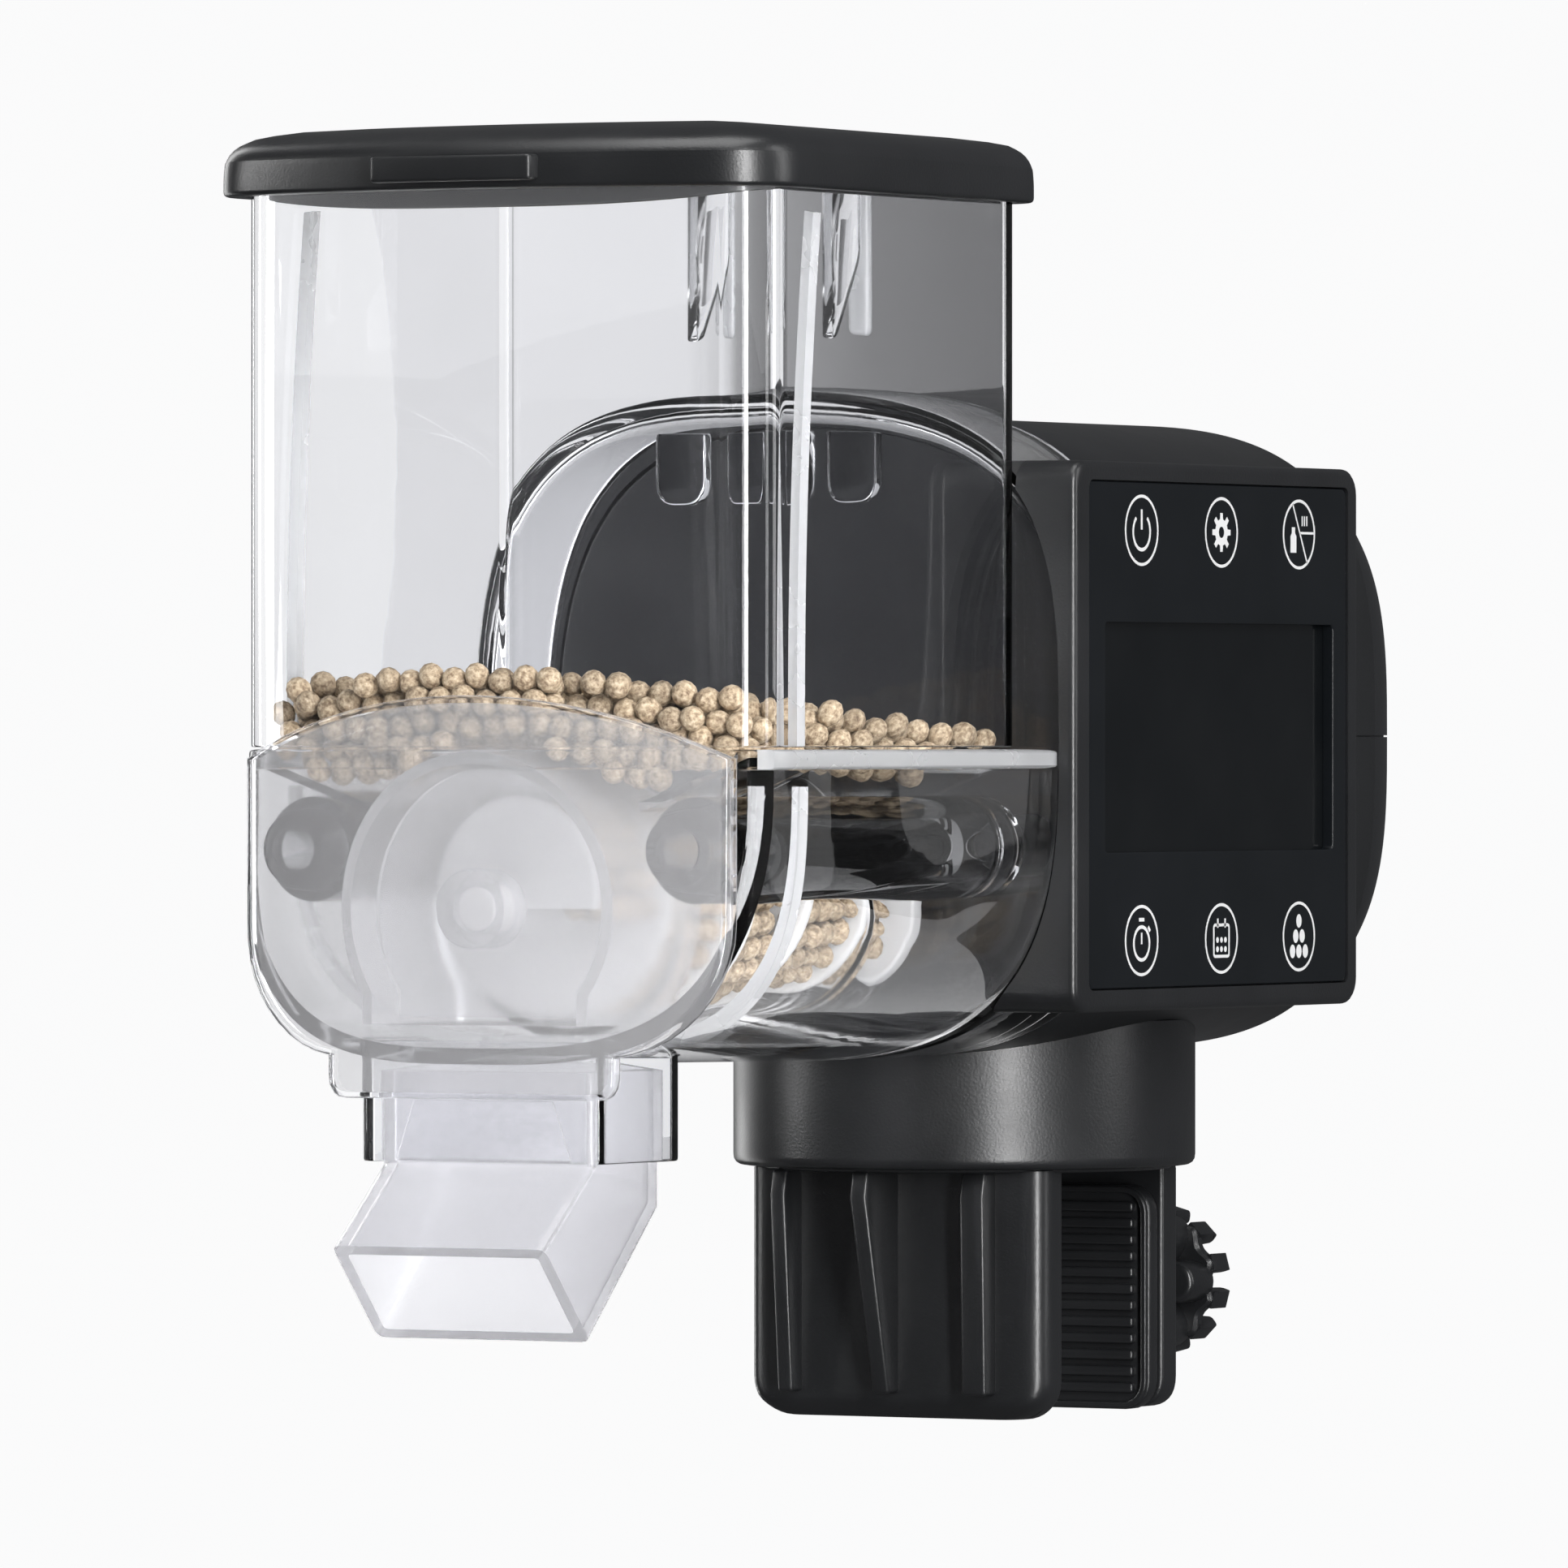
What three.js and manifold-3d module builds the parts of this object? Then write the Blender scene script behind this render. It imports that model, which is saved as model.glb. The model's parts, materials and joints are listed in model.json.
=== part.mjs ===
// Automatic fish feeder: a clear hopper with an auger, carried by a dark drive unit that swivels on a
// tank-rim clamp.
// Millimetres. +X is the control-panel side, -Y the outlet side, +Z up.
// Origin: on the swivel axis, at the face of the clamp that rests on the tank rim.
import * as THREE from "three";
import { mergeVertices } from "three/addons/utils/BufferGeometryUtils.js";
import Module from "manifold-3d";

const wasm = await Module();
wasm.setup();

// ---- driving dimensions ----
const GAP = 0.3; // clearance kept between neighbouring pieces
const SQUARENESS = 0.64; // of the rounded outlines: 1 is an ellipse, less is squarer
const WALL = 2.2; // clear plastic wall

const auger = { z: 38.5, radius: 15.2, shaft: 3.6, pitch: 19, front: -131, rear: -39.8, blade: 2.8 };
const bin = { halfX: 41.5, front: -138, sag: 6.5, rear: -59.6, corner: 3, bottom: 60.3, top: 136.8 };
const body = { halfX: 41, z: 58, halfZ: 40.5, top: 60, flareStart: -131, rib: -119 };
const cup = { halfX: 48.6, halfZ: 45.8, z: 62.3, front: -59.5, rear: -36.7 };
const house = { halfX: 48.6, halfZ: 45, z: 61.8, front: -36.4, seam: 34.5, rear: 54, wall: 2.4, dome: 19.5 };
const collar = { radius: 33.1, inner: 30.6, bottom: 0.5, webBottom: 6.5, webTop: 9 };
const cover = { halfX: 38, bottom: 18.4, corner: 18, sideTop: 58.8, archTop: 67.3, thick: 2.3 };
const barrel = { radius: 21.2, wall: 1.6, rear: -112.6, ductHalfX: 17.6 };
const trough = { inner: 16.6, wall: 1.4, slopeWall: 1.2, edgeX: 38.4, edgeZ: 58.9, innerX: 18, innerZ: 51.2, front: -130,
  rear: -39.2 };
const sleeve = { halfX: 19, front: -136, rear: -114, bottom: 4.2, wall: 1.6 };
const chute = { halfX: 16.7, wall: 1.8, top: 16.4, front: -134, back: -116.1 };
const tube = { x: 30, z: 46.4, radius: 7.2, wall: 1.8, front: -129.6, rear: -50, postRear: -67 };
const panel = { face: 51.4, front: -62, rear: 23.5, bottom: 23.6, top: 99.9 };
const glass = { front: -57.7, rear: 20.1, bottom: 26.8, top: 97.1 };
const screen = { front: -53, rear: 16.2, bottom: 45.4, top: 77.9 };
const jaw = { halfX: 24, front: -21, back: -14.8, bottom: -35, corner: 5.5, face: -12.8 };
const arm = { halfX: 22.9, front: 17.3, back: 22, bottom: -34.6, corner: 4 };
const pad = { halfX: 22.5, face: 13, back: 16.8, top: -2.6, bottom: -34.8, corner: 4 };
const screw = { z: -18, radius: 3.2, knobFront: 49.5, knobBack: 62.2, knobRadius: 11, lobes: 6, crown: 4.6 };
const gear = { teeth: 36, module: 0.8, front: -31, back: -26 };
const pinion = { teeth: 12 };
const feed = { top: 68.2, bottom: 54.7 };
const bosses = [[-31, 24], [31, 24], [-31, -22], [31, -22]]; // where the casing halves are screwed together

// ---- solids ----
const ROUND = 32; // facets on a full circle

function solid(geometry) {
  const g = geometry.index ? geometry.toNonIndexed() : geometry.clone();
  g.deleteAttribute("normal");
  g.deleteAttribute("uv");
  const merged = mergeVertices(g, 1e-4);
  return new wasm.Manifold(new wasm.Mesh({
    numProp: 3,
    vertProperties: merged.attributes.position.array,
    triVerts: new Uint32Array(merged.index.array),
  }));
}

// A piece is one body: a sliver left over by a cut is dropped.
function geometryOf(made) {
  const mesh = made.decompose().reduce((most, next) => (next.volume() > most.volume() ? next : most)).getMesh();
  return new THREE.BufferGeometry()
    .setAttribute("position", new THREE.BufferAttribute(new Float32Array(mesh.vertProperties), 3))
    .setIndex(new THREE.BufferAttribute(new Uint32Array(mesh.triVerts), 1));
}

const join = (first, ...rest) => rest.reduce((sum, next) => sum.add(next), first);
const cut = (first, ...rest) => rest.reduce((left, next) => left.subtract(next), first);

function shapeOf(points, holes = []) {
  const shape = new THREE.Shape(points.map(([x, y]) => new THREE.Vector2(x, y)));
  shape.holes = holes.map((hole) => new THREE.Path(hole.map(([x, y]) => new THREE.Vector2(x, y))));
  return shape;
}

function extruded(points, depth) {
  return new THREE.ExtrudeGeometry(shapeOf(points), { depth, bevelEnabled: false, curveSegments: 8 });
}

// An outline in X,Z carried from y0 to y1.
function alongY(points, y0, y1) {
  return solid(extruded(points, y1 - y0).rotateX(Math.PI / 2).translate(0, y1, 0));
}

// An outline in X,Y carried from z0 to z1.
function alongZ(points, z0, z1) {
  return solid(extruded(points, z1 - z0).translate(0, 0, z0));
}

// An outline in Y,Z carried from x0 to x1.
function alongX(points, x0, x1) {
  const toYZ = new THREE.Matrix4().makeBasis(
    new THREE.Vector3(0, 1, 0), new THREE.Vector3(0, 0, 1), new THREE.Vector3(1, 0, 0));
  return solid(extruded(points, x1 - x0).applyMatrix4(toYZ).translate(x0, 0, 0));
}

function box(x0, x1, y0, y1, z0, z1) {
  return solid(new THREE.BoxGeometry(x1 - x0, y1 - y0, z1 - z0)
    .translate((x0 + x1) / 2, (y0 + y1) / 2, (z0 + z1) / 2));
}

function rodY(radius, y0, y1, x = 0, z = 0, sides = ROUND) {
  return solid(new THREE.CylinderGeometry(radius, radius, y1 - y0, sides).translate(x, (y0 + y1) / 2, z));
}

function rodZ(radius, z0, z1, x = 0, y = 0, sides = ROUND) {
  return solid(new THREE.CylinderGeometry(radius, radius, z1 - z0, sides)
    .rotateX(Math.PI / 2).translate(x, y, (z0 + z1) / 2));
}

function rodX(radius, x0, x1, y, z, sides = ROUND) {
  return solid(new THREE.CylinderGeometry(radius, radius, x1 - x0, sides)
    .rotateZ(Math.PI / 2).translate((x0 + x1) / 2, y, z));
}

// ---- outlines, all counter-clockwise ----
function arc(cx, cy, radius, from, to, steps) {
  const points = [];
  for (let i = 0; i <= steps; i++) {
    const angle = from + ((to - from) * i) / steps;
    points.push([cx + radius * Math.cos(angle), cy + radius * Math.sin(angle)]);
  }
  return points;
}

function roundRect(halfX, halfZ, z, corner, steps = 8) {
  const quarter = Math.PI / 2;
  return [[1, 1], [-1, 1], [-1, -1], [1, -1]].flatMap(([sx, sz], i) =>
    arc(sx * (halfX - corner), z + sz * (halfZ - corner), corner, i * quarter, (i + 1) * quarter, steps));
}

// Points on the arc that rises by sag over a chord from (x0, y) to (-x0, y), bulging towards `side`.
function bulge(x0, y, sag, side, steps) {
  const radius = (x0 * x0 + sag * sag) / (2 * sag);
  const half = Math.asin(x0 / radius);
  const points = [];
  for (let i = 1; i < steps; i++) {
    const angle = half - (2 * half * i) / steps;
    points.push([radius * Math.sin(angle), y + side * (radius * Math.cos(angle) - radius + sag)]);
  }
  return points;
}

// A superellipse about (0, z): from angle `from` to `to`, in `steps` steps.
function oval(halfX, halfZ, z, steps = 36, from = 0, to = 2 * Math.PI, closed = true) {
  const points = [];
  for (let i = 0; i < (closed ? steps : steps + 1); i++) {
    const angle = from + ((to - from) * i) / steps;
    const [c, s] = [Math.cos(angle), Math.sin(angle)];
    points.push([halfX * Math.sign(c) * Math.abs(c) ** SQUARENESS, z + halfZ * Math.sign(s) * Math.abs(s) ** SQUARENESS]);
  }
  return points;
}

// The hopper's plan: straight sides, a convex front. `grow` moves the wall outwards, `reach` its front.
function plan(grow, reach = grow) {
  const x = bin.halfX + grow;
  const rear = bin.rear + grow;
  const chordY = bin.front - reach + bin.sag;
  const quarter = Math.PI / 2;
  const r = Math.max(bin.corner + grow, 1.5);
  const cornerX = x - 7;
  return [
    ...arc(x - r, rear - r, r, 0, quarter, 4),
    ...arc(-x + r, rear - r, r, quarter, 2 * quarter, 4),
    [-x, chordY + 8], [-x + 0.6, chordY + 4.4], [-x + 2.4, chordY + 1.8], [-cornerX, chordY],
    ...bulge(-cornerX, chordY, bin.sag, -1, 10),
    [cornerX, chordY], [x - 2.4, chordY + 1.8], [x - 0.6, chordY + 4.4], [x, chordY + 8],
  ];
}

// The lower body's section, t = 0 at the outlet end and 1 at the drive end.
function bodySection(t, shrink = 0, top = body.top) {
  const at = (from, to) => from + (to - from) * t;
  const halfX = at(body.halfX, cup.halfX) - shrink;
  const lower = oval(halfX, at(body.halfZ, cup.halfZ) - shrink, at(body.z, cup.z), 20, Math.PI, 2 * Math.PI, false);
  return [[halfX, top], [-halfX, top], ...lower.map(([x, z]) => [x, Math.min(z, top - 0.5)])];
}

// A straight-sided loft between two outlines with as many points each, in the planes y0 and y1.
function loftY(a, b, y0, y1) {
  const n = a.length;
  const at = [...a.map(([x, z]) => [x, y0, z]), ...b.map(([x, z]) => [x, y1, z])];
  const faces = [];
  for (let i = 0; i < n; i++) {
    const j = (i + 1) % n;
    faces.push([i, n + i, n + j], [i, n + j, j]);
  }
  const flat = (outline) => THREE.ShapeUtils.triangulateShape(outline.map(([x, z]) => new THREE.Vector2(x, z)), []);
  for (const [p, q, r] of flat(a)) faces.push([p, q, r]);
  for (const [p, q, r] of flat(b)) faces.push([n + p, n + r, n + q]);
  return solid(new THREE.BufferGeometry()
    .setAttribute("position", new THREE.Float32BufferAttribute(faces.flat().flatMap((v) => at[v]), 3)));
}

function coverOutline(grow) {
  const x = cover.halfX + grow;
  const corner = cover.corner + grow;
  const bottom = cover.bottom - grow;
  const quarter = Math.PI / 2;
  return [
    [x, cover.sideTop], ...bulge(x, cover.sideTop, cover.archTop - cover.sideTop + grow, 1, 12), [-x, cover.sideTop],
    ...arc(-x + corner, bottom + corner, corner, 2 * quarter, 3 * quarter, 7),
    ...arc(x - corner, bottom + corner, corner, 3 * quarter, 4 * quarter, 7),
  ];
}

// ---- the part, as a scene graph ----
const feeder = new THREE.Group();
const finish = (color, roughness, metalness = 0, opacity = 1) =>
  new THREE.MeshStandardMaterial({ color, roughness, metalness, opacity, transparent: opacity < 1 });
const looks = {
  clear: finish(0xe8ecf0, 0.05, 0, 0.3),
  frosted: finish(0xdfe1e6, 0.5, 0, 0.7),
  white: finish(0xf2f2f0, 0.4),
  black: finish(0x26282b, 0.45),
  glossBlack: finish(0x08090a, 0.08),
  screen: finish(0x101412, 0.2),
  rubber: finish(0x1a1b1c, 0.85),
  steel: finish(0xb9bcc0, 0.3, 1),
  brass: finish(0xc8a24a, 0.35, 1),
  board: finish(0x1f5a38, 0.5),
  nylon: finish(0xe9e4d2, 0.5),
  pellets: finish(0xb08f66, 0.9),
};
function piece(name, made, look) {
  const mesh = new THREE.Mesh(geometryOf(made), looks[look]);
  mesh.name = name;
  feeder.add(mesh);
}

// -- hopper --
function hopperBin() {
  const shell = cut(alongZ(plan(0), bin.bottom, bin.top), alongZ(plan(-WALL), bin.bottom - 1, bin.top + 1));
  const rearRibs = [-10.3, 10.3].map((x) => alongX(
    [[-60.5, 134.9], [-60.5, 114.5], [-58, 114.5], [-49, 127], [-49, 134.9]], x - 1.3, x + 1.3));
  return join(shell, ...rearRibs);
}

function augerHousing() {
  const reach = -150;
  const prism = (shrink, top, from) => join(
    alongY(bodySection(0, shrink, top), from, body.flareStart + 0.01),
    loftY(bodySection(0, shrink, top), bodySection(1, shrink, top), body.flareStart, cup.front + 0.2));
  const shelf = alongZ([
    [bin.halfX, reach], [bin.halfX, body.flareStart], [cup.halfX, cup.front], [-cup.halfX, cup.front],
    [-bin.halfX, body.flareStart], [-bin.halfX, reach],
  ], body.top - 2.4, body.top);
  const inPlan = alongZ(plan(0), 0, 70).add(box(-60, 60, body.flareStart + 9, cup.front + 0.2, 0, 70));
  const lower = join(cut(prism(0, body.top, reach), prism(WALL, body.top + 1, reach - 1)), shelf).intersect(inPlan);
  const rib = cut(prism(0.5, body.top, reach), prism(WALL + 3.5, body.top + 1, reach - 1))
    .intersect(box(-60, 60, body.rib - 1, body.rib + 1, 30, 54.6));
  const back = cut(alongY(oval(cup.halfX, cup.halfZ, cup.z), cup.front, cup.rear),
    alongY(oval(cup.halfX - WALL, cup.halfZ - WALL, cup.z), cup.front + WALL, cup.rear + 1));
  const latches = [-1, 1].map((side) => join(
    box(side * 11 - 9, side * 11 + 9, cup.front + WALL - 0.1, cup.front + 3.4, 95, 103.5),
    box(side * 11 - 3, side * 11 + 3, cup.front + WALL - 0.1, cup.front + 12, 101, 103.5)));
  const holes = [
    alongZ(plan(-WALL), 56, 61),
    rodY(trough.inner + trough.wall + GAP, cup.front - 1, cup.front + WALL + 1, 0, auger.z),
    ...[-1, 1].map((side) => rodY(tube.radius + GAP, cup.front - 1, cup.front + WALL + 1, side * tube.x, tube.z, 24)),
    ...[-1, 1].map((side) => rodY(tube.radius + GAP, -130, cup.front, side * tube.x, tube.z, 24)),
    rodY(barrel.radius + 0.35, -140, barrel.rear + GAP, 0, auger.z),
    sleeveHole,
  ];
  return cut(join(lower, rib, back, ...latches), ...holes);
}

// The clear square sleeve bonded under the lower body, round the chute.
const sleeveHole = box(-sleeve.halfX + sleeve.wall, sleeve.halfX - sleeve.wall,
  sleeve.front + sleeve.wall, sleeve.rear - sleeve.wall, sleeve.bottom - 1, 25);

function outletSleeve() {
  const outer = box(-sleeve.halfX, sleeve.halfX, sleeve.front, sleeve.rear, sleeve.bottom, 24);
  const [straight, flared] = [bodySection(0, -GAP, 70), bodySection(1, -GAP, 70)];
  const above = join(alongY(straight, sleeve.front - 1, body.flareStart + 0.01),
    loftY(straight, flared, body.flareStart, cup.front));
  return cut(outer, sleeveHole, above);
}

function feedTrough() {
  const w = trough.slopeWall;
  const section = [
    [trough.edgeX, trough.edgeZ - w], [trough.edgeX, trough.edgeZ], [trough.innerX, trough.innerZ],
    ...arc(0, auger.z, trough.inner, 0, -Math.PI, 12), [-trough.innerX, trough.innerZ], [-trough.edgeX, trough.edgeZ],
    [-trough.edgeX, trough.edgeZ - w], [-trough.innerX - 0.3, trough.innerZ - w],
    ...arc(0, auger.z, trough.inner + trough.wall, Math.PI, 2 * Math.PI, 12), [trough.innerX + 0.3, trough.innerZ - w],
  ];
  const shelfBand = cut(box(-60, 60, -150, -50, body.top - 2.4 - GAP, body.top), alongZ(plan(-WALL - GAP), 50, 61));
  const slopes = cut(alongY(section, trough.front, cup.front - GAP), shelfBand);
  const chamber = join(
    rodY(barrel.radius + GAP, -140, barrel.rear + GAP, 0, auger.z),
    box(-barrel.radius - GAP, barrel.radius + GAP, -140, barrel.rear + GAP, 10, auger.z));
  const pipe = cut(
    rodY(trough.inner + trough.wall, cup.front - 1, trough.rear, 0, auger.z),
    rodY(trough.inner, cup.front - 2, trough.rear + 1, 0, auger.z));
  return join(cut(slopes, chamber), pipe);
}

function guideTube(side) {
  const x = side * tube.x;
  const outer = join(rodY(tube.radius, tube.front, tube.rear - 2, x, tube.z, 24),
    rodY(tube.radius - 1.6, tube.rear - 2.1, tube.rear, x, tube.z, 24));
  return cut(outer, rodY(tube.radius - tube.wall, tube.front - 1, tube.rear - 3.5, x, tube.z, 24),
    rodY(2.2, tube.rear - 4, tube.rear + 1, x, tube.z, 12));
}

function frontCover() {
  const reach = -150;
  const band = cut(alongZ(plan(cover.thick + GAP), 0, 80), alongZ(plan(GAP), -1, 81));
  const tongue = [[22.4, 22], [-22.4, 22], ...arc(-19.4, 15.8, 3, Math.PI, 1.5 * Math.PI, 3),
    ...arc(19.4, 15.8, 3, 1.5 * Math.PI, 2 * Math.PI, 3)];
  const plate = join(alongY(coverOutline(0), reach, -120), alongY(tongue, reach, -120)).intersect(band);
  const floor = 22.8;
  const drum = (radius, y0, y1, low, halfX) => join(rodY(radius, y0, y1, 0, auger.z), box(-halfX, halfX, y0, y1, low, auger.z))
    .intersect(box(-30, 30, -145, -100, low, 80));
  const chamber = cut(
    drum(barrel.radius, -139, barrel.rear, floor, barrel.ductHalfX),
    drum(barrel.radius - barrel.wall, -138.2, barrel.rear - barrel.wall, floor - 1, barrel.ductHalfX - barrel.wall),
    rodY(auger.radius + 0.8, -120, -100, 0, auger.z));
  const bearing = cut(rodY(5.4, -139, -131.6, 0, auger.z, 24), rodY(3.3, -136.8, -130, 0, auger.z, 16));
  const posts = [-1, 1].map((side) => {
    const x = side * tube.x;
    const radius = tube.radius - tube.wall - GAP - 0.2;
    return cut(rodY(radius, -139, tube.postRear, x, tube.z, 20),
      rodY(radius - 1.7, -133, tube.postRear - 2, x, tube.z, 20), rodY(2, tube.postRear - 3, tube.postRear + 1, x, tube.z, 12));
  });
  return join(plate, join(chamber, bearing, ...posts).intersect(alongZ(plan(cover.thick), 0, 80)));
}

function augerScrew() {
  const turns = (auger.rear - auger.front) / auger.pitch;
  const steps = Math.round(turns * 12);
  const half = auger.blade / 2;
  const rows = [];
  for (let i = 0; i <= steps; i++) {
    const angle = (2 * Math.PI * turns * i) / steps;
    const y = auger.front + half + ((auger.rear - auger.front - auger.blade) * i) / steps;
    const at = (r, dy) => [r * Math.cos(angle), y + dy, auger.z + r * Math.sin(angle)];
    rows.push([at(1.5, -half), at(auger.radius, -half * 0.6), at(auger.radius, half * 0.6), at(1.5, half)]);
  }
  const faces = [];
  const quad = (a, b, c, d) => faces.push(a, b, c, a, c, d);
  for (let i = 0; i < steps; i++)
    for (let k = 0; k < 4; k++)
      quad(rows[i][k], rows[i][(k + 1) % 4], rows[i + 1][(k + 1) % 4], rows[i + 1][k]);
  quad(rows[0][3], rows[0][2], rows[0][1], rows[0][0]);
  quad(...rows[steps]);
  const blade = solid(new THREE.BufferGeometry()
    .setAttribute("position", new THREE.Float32BufferAttribute(faces.flat(), 3)));
  const shaft = join(
    rodY(auger.shaft, auger.front, auger.rear, 0, auger.z, 16),
    rodY(3, -136.4, auger.front + 1, 0, auger.z, 16),
    rodY(auger.radius, -42.4, auger.rear, 0, auger.z),
    rodY(7, -48, auger.rear, 0, auger.z, 24));
  const socket = rodY(4.3, -47, auger.rear + 1, 0, auger.z, 6);
  return cut(join(blade, shaft), socket);
}

function outletChute() {
  const w = chute.wall;
  const outer = [[chute.front, chute.top], [chute.front, 3.9], [-146.9, -6.9], [-134.8, -19.7], [chute.back, -2.2],
    [chute.back, chute.top]];
  const inner = [[chute.front + w, chute.top + 1], [chute.front + w, 3.1], [-149.7, -11.6], [-137.8, -20],
    [chute.back - w, -1.4], [chute.back - w, chute.top + 1]];
  const side = chute.halfX - chute.wall;
  return cut(alongX(outer, -chute.halfX, chute.halfX), alongX(inner, -side, side));
}

function lid() {
  const top = bin.top + GAP;
  const step = (grow, z0, z1) => alongZ(plan(grow, grow * 1.5), z0, z1);
  // The crown rises in steps: how far each stands out of the bin's outline, and its top.
  const crown = [[3, 141.5], [2.5, 142.6], [1.2, 143.4], [-2, 144.1], [-8, 144.7], [-18, 145.2]];
  const layers = crown.map(([grow, height], i) => step(grow, (i ? crown[i - 1][1] : top) - 0.1 * Math.sign(i) - 0.01, height));
  const skirt = cut(step(3, 135.4, top), alongZ(plan(0.5), 135, top + 1));
  const plug = cut(alongZ(plan(-WALL - 0.4), 133, top + 1), alongZ(plan(-WALL - 2.4), 130, top));
  const tab = cut(box(-12.5, 12.5, -144.4, -138, 136.6, 139.8), alongZ(plan(2), 130, 140));
  return join(...layers, skirt, plug, tab);
}

function feedBed() {
  const edge = bin.halfX - WALL - 1.5;
  const outline = [[edge, feed.top], [-edge, feed.top], [-edge, 60.2], [-22, feed.bottom], [22, feed.bottom], [edge, 60.2]];
  const bed = alongY(outline, -134, -62.8).intersect(alongZ(plan(-WALL - 1.2), 50, 80));
  return cut(bed, rodY(barrel.radius + 0.6, -140, barrel.rear + 0.6, 0, auger.z));
}

// -- drive unit --
// The casing's outer or inner form: a straight barrel and a domed rear end.
function houseForm(shrink, front) {
  const outline = (inset) => oval(house.halfX - shrink - inset, house.halfZ - shrink - inset, house.z);
  const form = [alongY(outline(0), front, house.seam)];
  const steps = 4;
  for (let i = 0; i < steps; i++) {
    const [near, far] = [i, i + 1].map((k) => (Math.PI / 2) * (k / steps) * 0.93);
    const y = (angle) => house.seam + (house.rear - shrink - house.seam) * (Math.sin(angle) / Math.sin(Math.PI * 0.465));
    const inset = (angle) => house.dome * (1 - Math.cos(angle));
    form.push(loftY(outline(inset(near)), outline(inset(far)), y(near) - (i ? 0 : 0.01), y(far)));
  }
  return join(...form);
}

const inside = houseForm(house.wall, house.front - 1);
const outside = houseForm(0, house.front);

function casingUpper() {
  const posts = bosses.map(([x, y]) => cut(rodZ(3.6, house.z + GAP / 2, 110, x, y, 12), rodZ(1.5, 50, 74, x, y, 8)));
  const half = cut(outside, inside).intersect(box(-60, 60, -60, 80, house.z + GAP / 2, 120));
  return join(half, ...posts.map((post) => post.intersect(outside)));
}

function casingLower() {
  const shell = cut(cut(outside, inside), rodZ(collar.inner, 0, 25, 0, 0, 40))
    .intersect(box(-60, 60, -60, 80, 0, house.z - GAP / 2));
  const posts = bosses.map(([x, y]) => rodZ(4.4, 15, house.z - GAP / 2, x, y, 12).intersect(outside));
  const screwWays = bosses.map(([x, y]) => join(rodZ(3.2, 0, 34, x, y, 12), rodZ(1.8, 33, 70, x, y, 8)));
  return cut(join(shell, ...posts), box(-4.9, 4.9, 40, 60, 27.9, 31.6), ...screwWays);
}

// The swivel collar under the casing: a ring with a web that turns on the clamp's boss.
function swivelCollar() {
  const ring = cut(rodZ(collar.radius, collar.bottom, 40, 0, 0, 40), houseForm(-GAP, house.front - GAP),
    rodZ(collar.inner, 0, 60, 0, 0, 40));
  const web = rodZ(collar.inner + 0.5, collar.webBottom, collar.webTop, 0, 0, 40);
  return cut(join(ring, web), rodZ(8.4, 0, 60));
}

function frontPlate() {
  const shrink = house.wall + GAP;
  const plate = alongY(oval(house.halfX - shrink, house.halfZ - shrink, house.z), house.front, house.front + 3);
  const pegs = [-1, 1].map((side) => rodY(4.4, -46, house.front + 0.5, side * tube.x, tube.z, 16));
  return cut(join(plate, ...pegs), rodY(9.3, -40, -30, 0, auger.z, 24));
}

function shaftSeal() {
  return cut(rodY(9, house.front + 0.2, house.front + 2.8, 0, auger.z, 24), rodY(4.3, -40, -30, 0, auger.z, 24));
}

// A spur gear's outline with straight-flanked teeth. `turn` is in teeth.
function gearOutline(teeth, module, turn) {
  const points = [];
  const root = (module * (teeth - 2.5)) / 2;
  const tip = (module * (teeth + 2)) / 2;
  const step = (2 * Math.PI) / teeth;
  for (let i = 0; i < teeth; i++)
    for (const [share, r] of [[-0.27, root], [-0.12, tip], [0.12, tip], [0.27, root]]) {
      const angle = (i + turn + share) * step;
      points.push([r * Math.cos(angle), r * Math.sin(angle)]);
    }
  return points;
}

const shifted = (points, x, z) => points.map(([px, pz]) => [px + x, pz + z]);
const pinionZ = auger.z + (gear.module * (gear.teeth + pinion.teeth)) / 2 + 0.1;

function driveGear() {
  const wheel = alongY(shifted(gearOutline(gear.teeth, gear.module, 0), 0, auger.z), gear.front, gear.back);
  return cut(wheel, rodY(4.3, -40, -20, 0, auger.z, 6));
}

function driveShaft() {
  return join(rodY(4, -46, -20, 0, auger.z, 6), rodY(3, -20.5, -13, 0, auger.z, 16), rodY(6, -24.6, -23.4, 0, auger.z, 16));
}

function motorPinion() {
  const wheel = alongY(shifted(gearOutline(pinion.teeth, gear.module, 0.5), 0, pinionZ), gear.front - 0.4, gear.back + 0.4);
  return join(wheel, rodY(1.5, gear.back, -16.4, 0, pinionZ, 12));
}

function driveMotor() {
  const can = rodY(10, -11.5, 16, 0, pinionZ, 24);
  return cut(join(can, rodY(4, -15, -11, 0, pinionZ, 16)), rodY(1.9, -18, -9, 0, pinionZ, 12));
}

function motorBracket() {
  const plate = box(-22, 22, -22, -20, auger.z - 10, pinionZ + 18);
  const posts = [[-19, auger.z - 7], [19, auger.z - 7], [-19, pinionZ + 15], [19, pinionZ + 15]]
    .map(([x, z]) => rodY(2.6, house.front + 3 + GAP, -21, x, z, 12));
  const bearingCup = cut(rodY(7, -22, -12.6, 0, auger.z, 24), rodY(5.2, -23, -11, 0, auger.z, 24));
  return cut(join(plate, bearingCup, ...posts),
    rodY(5.2, -23, -11, 0, auger.z, 24), rodY(10.4, -30, -19, 0, pinionZ, 24));
}

function motorClip() {
  return cut(box(-12, 12, -19.6, -12, pinionZ - 12, pinionZ + 12),
    rodY(10.3, -11.9, -5, 0, pinionZ, 24), rodY(4.3, -22, -10, 0, pinionZ, 16));
}

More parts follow.
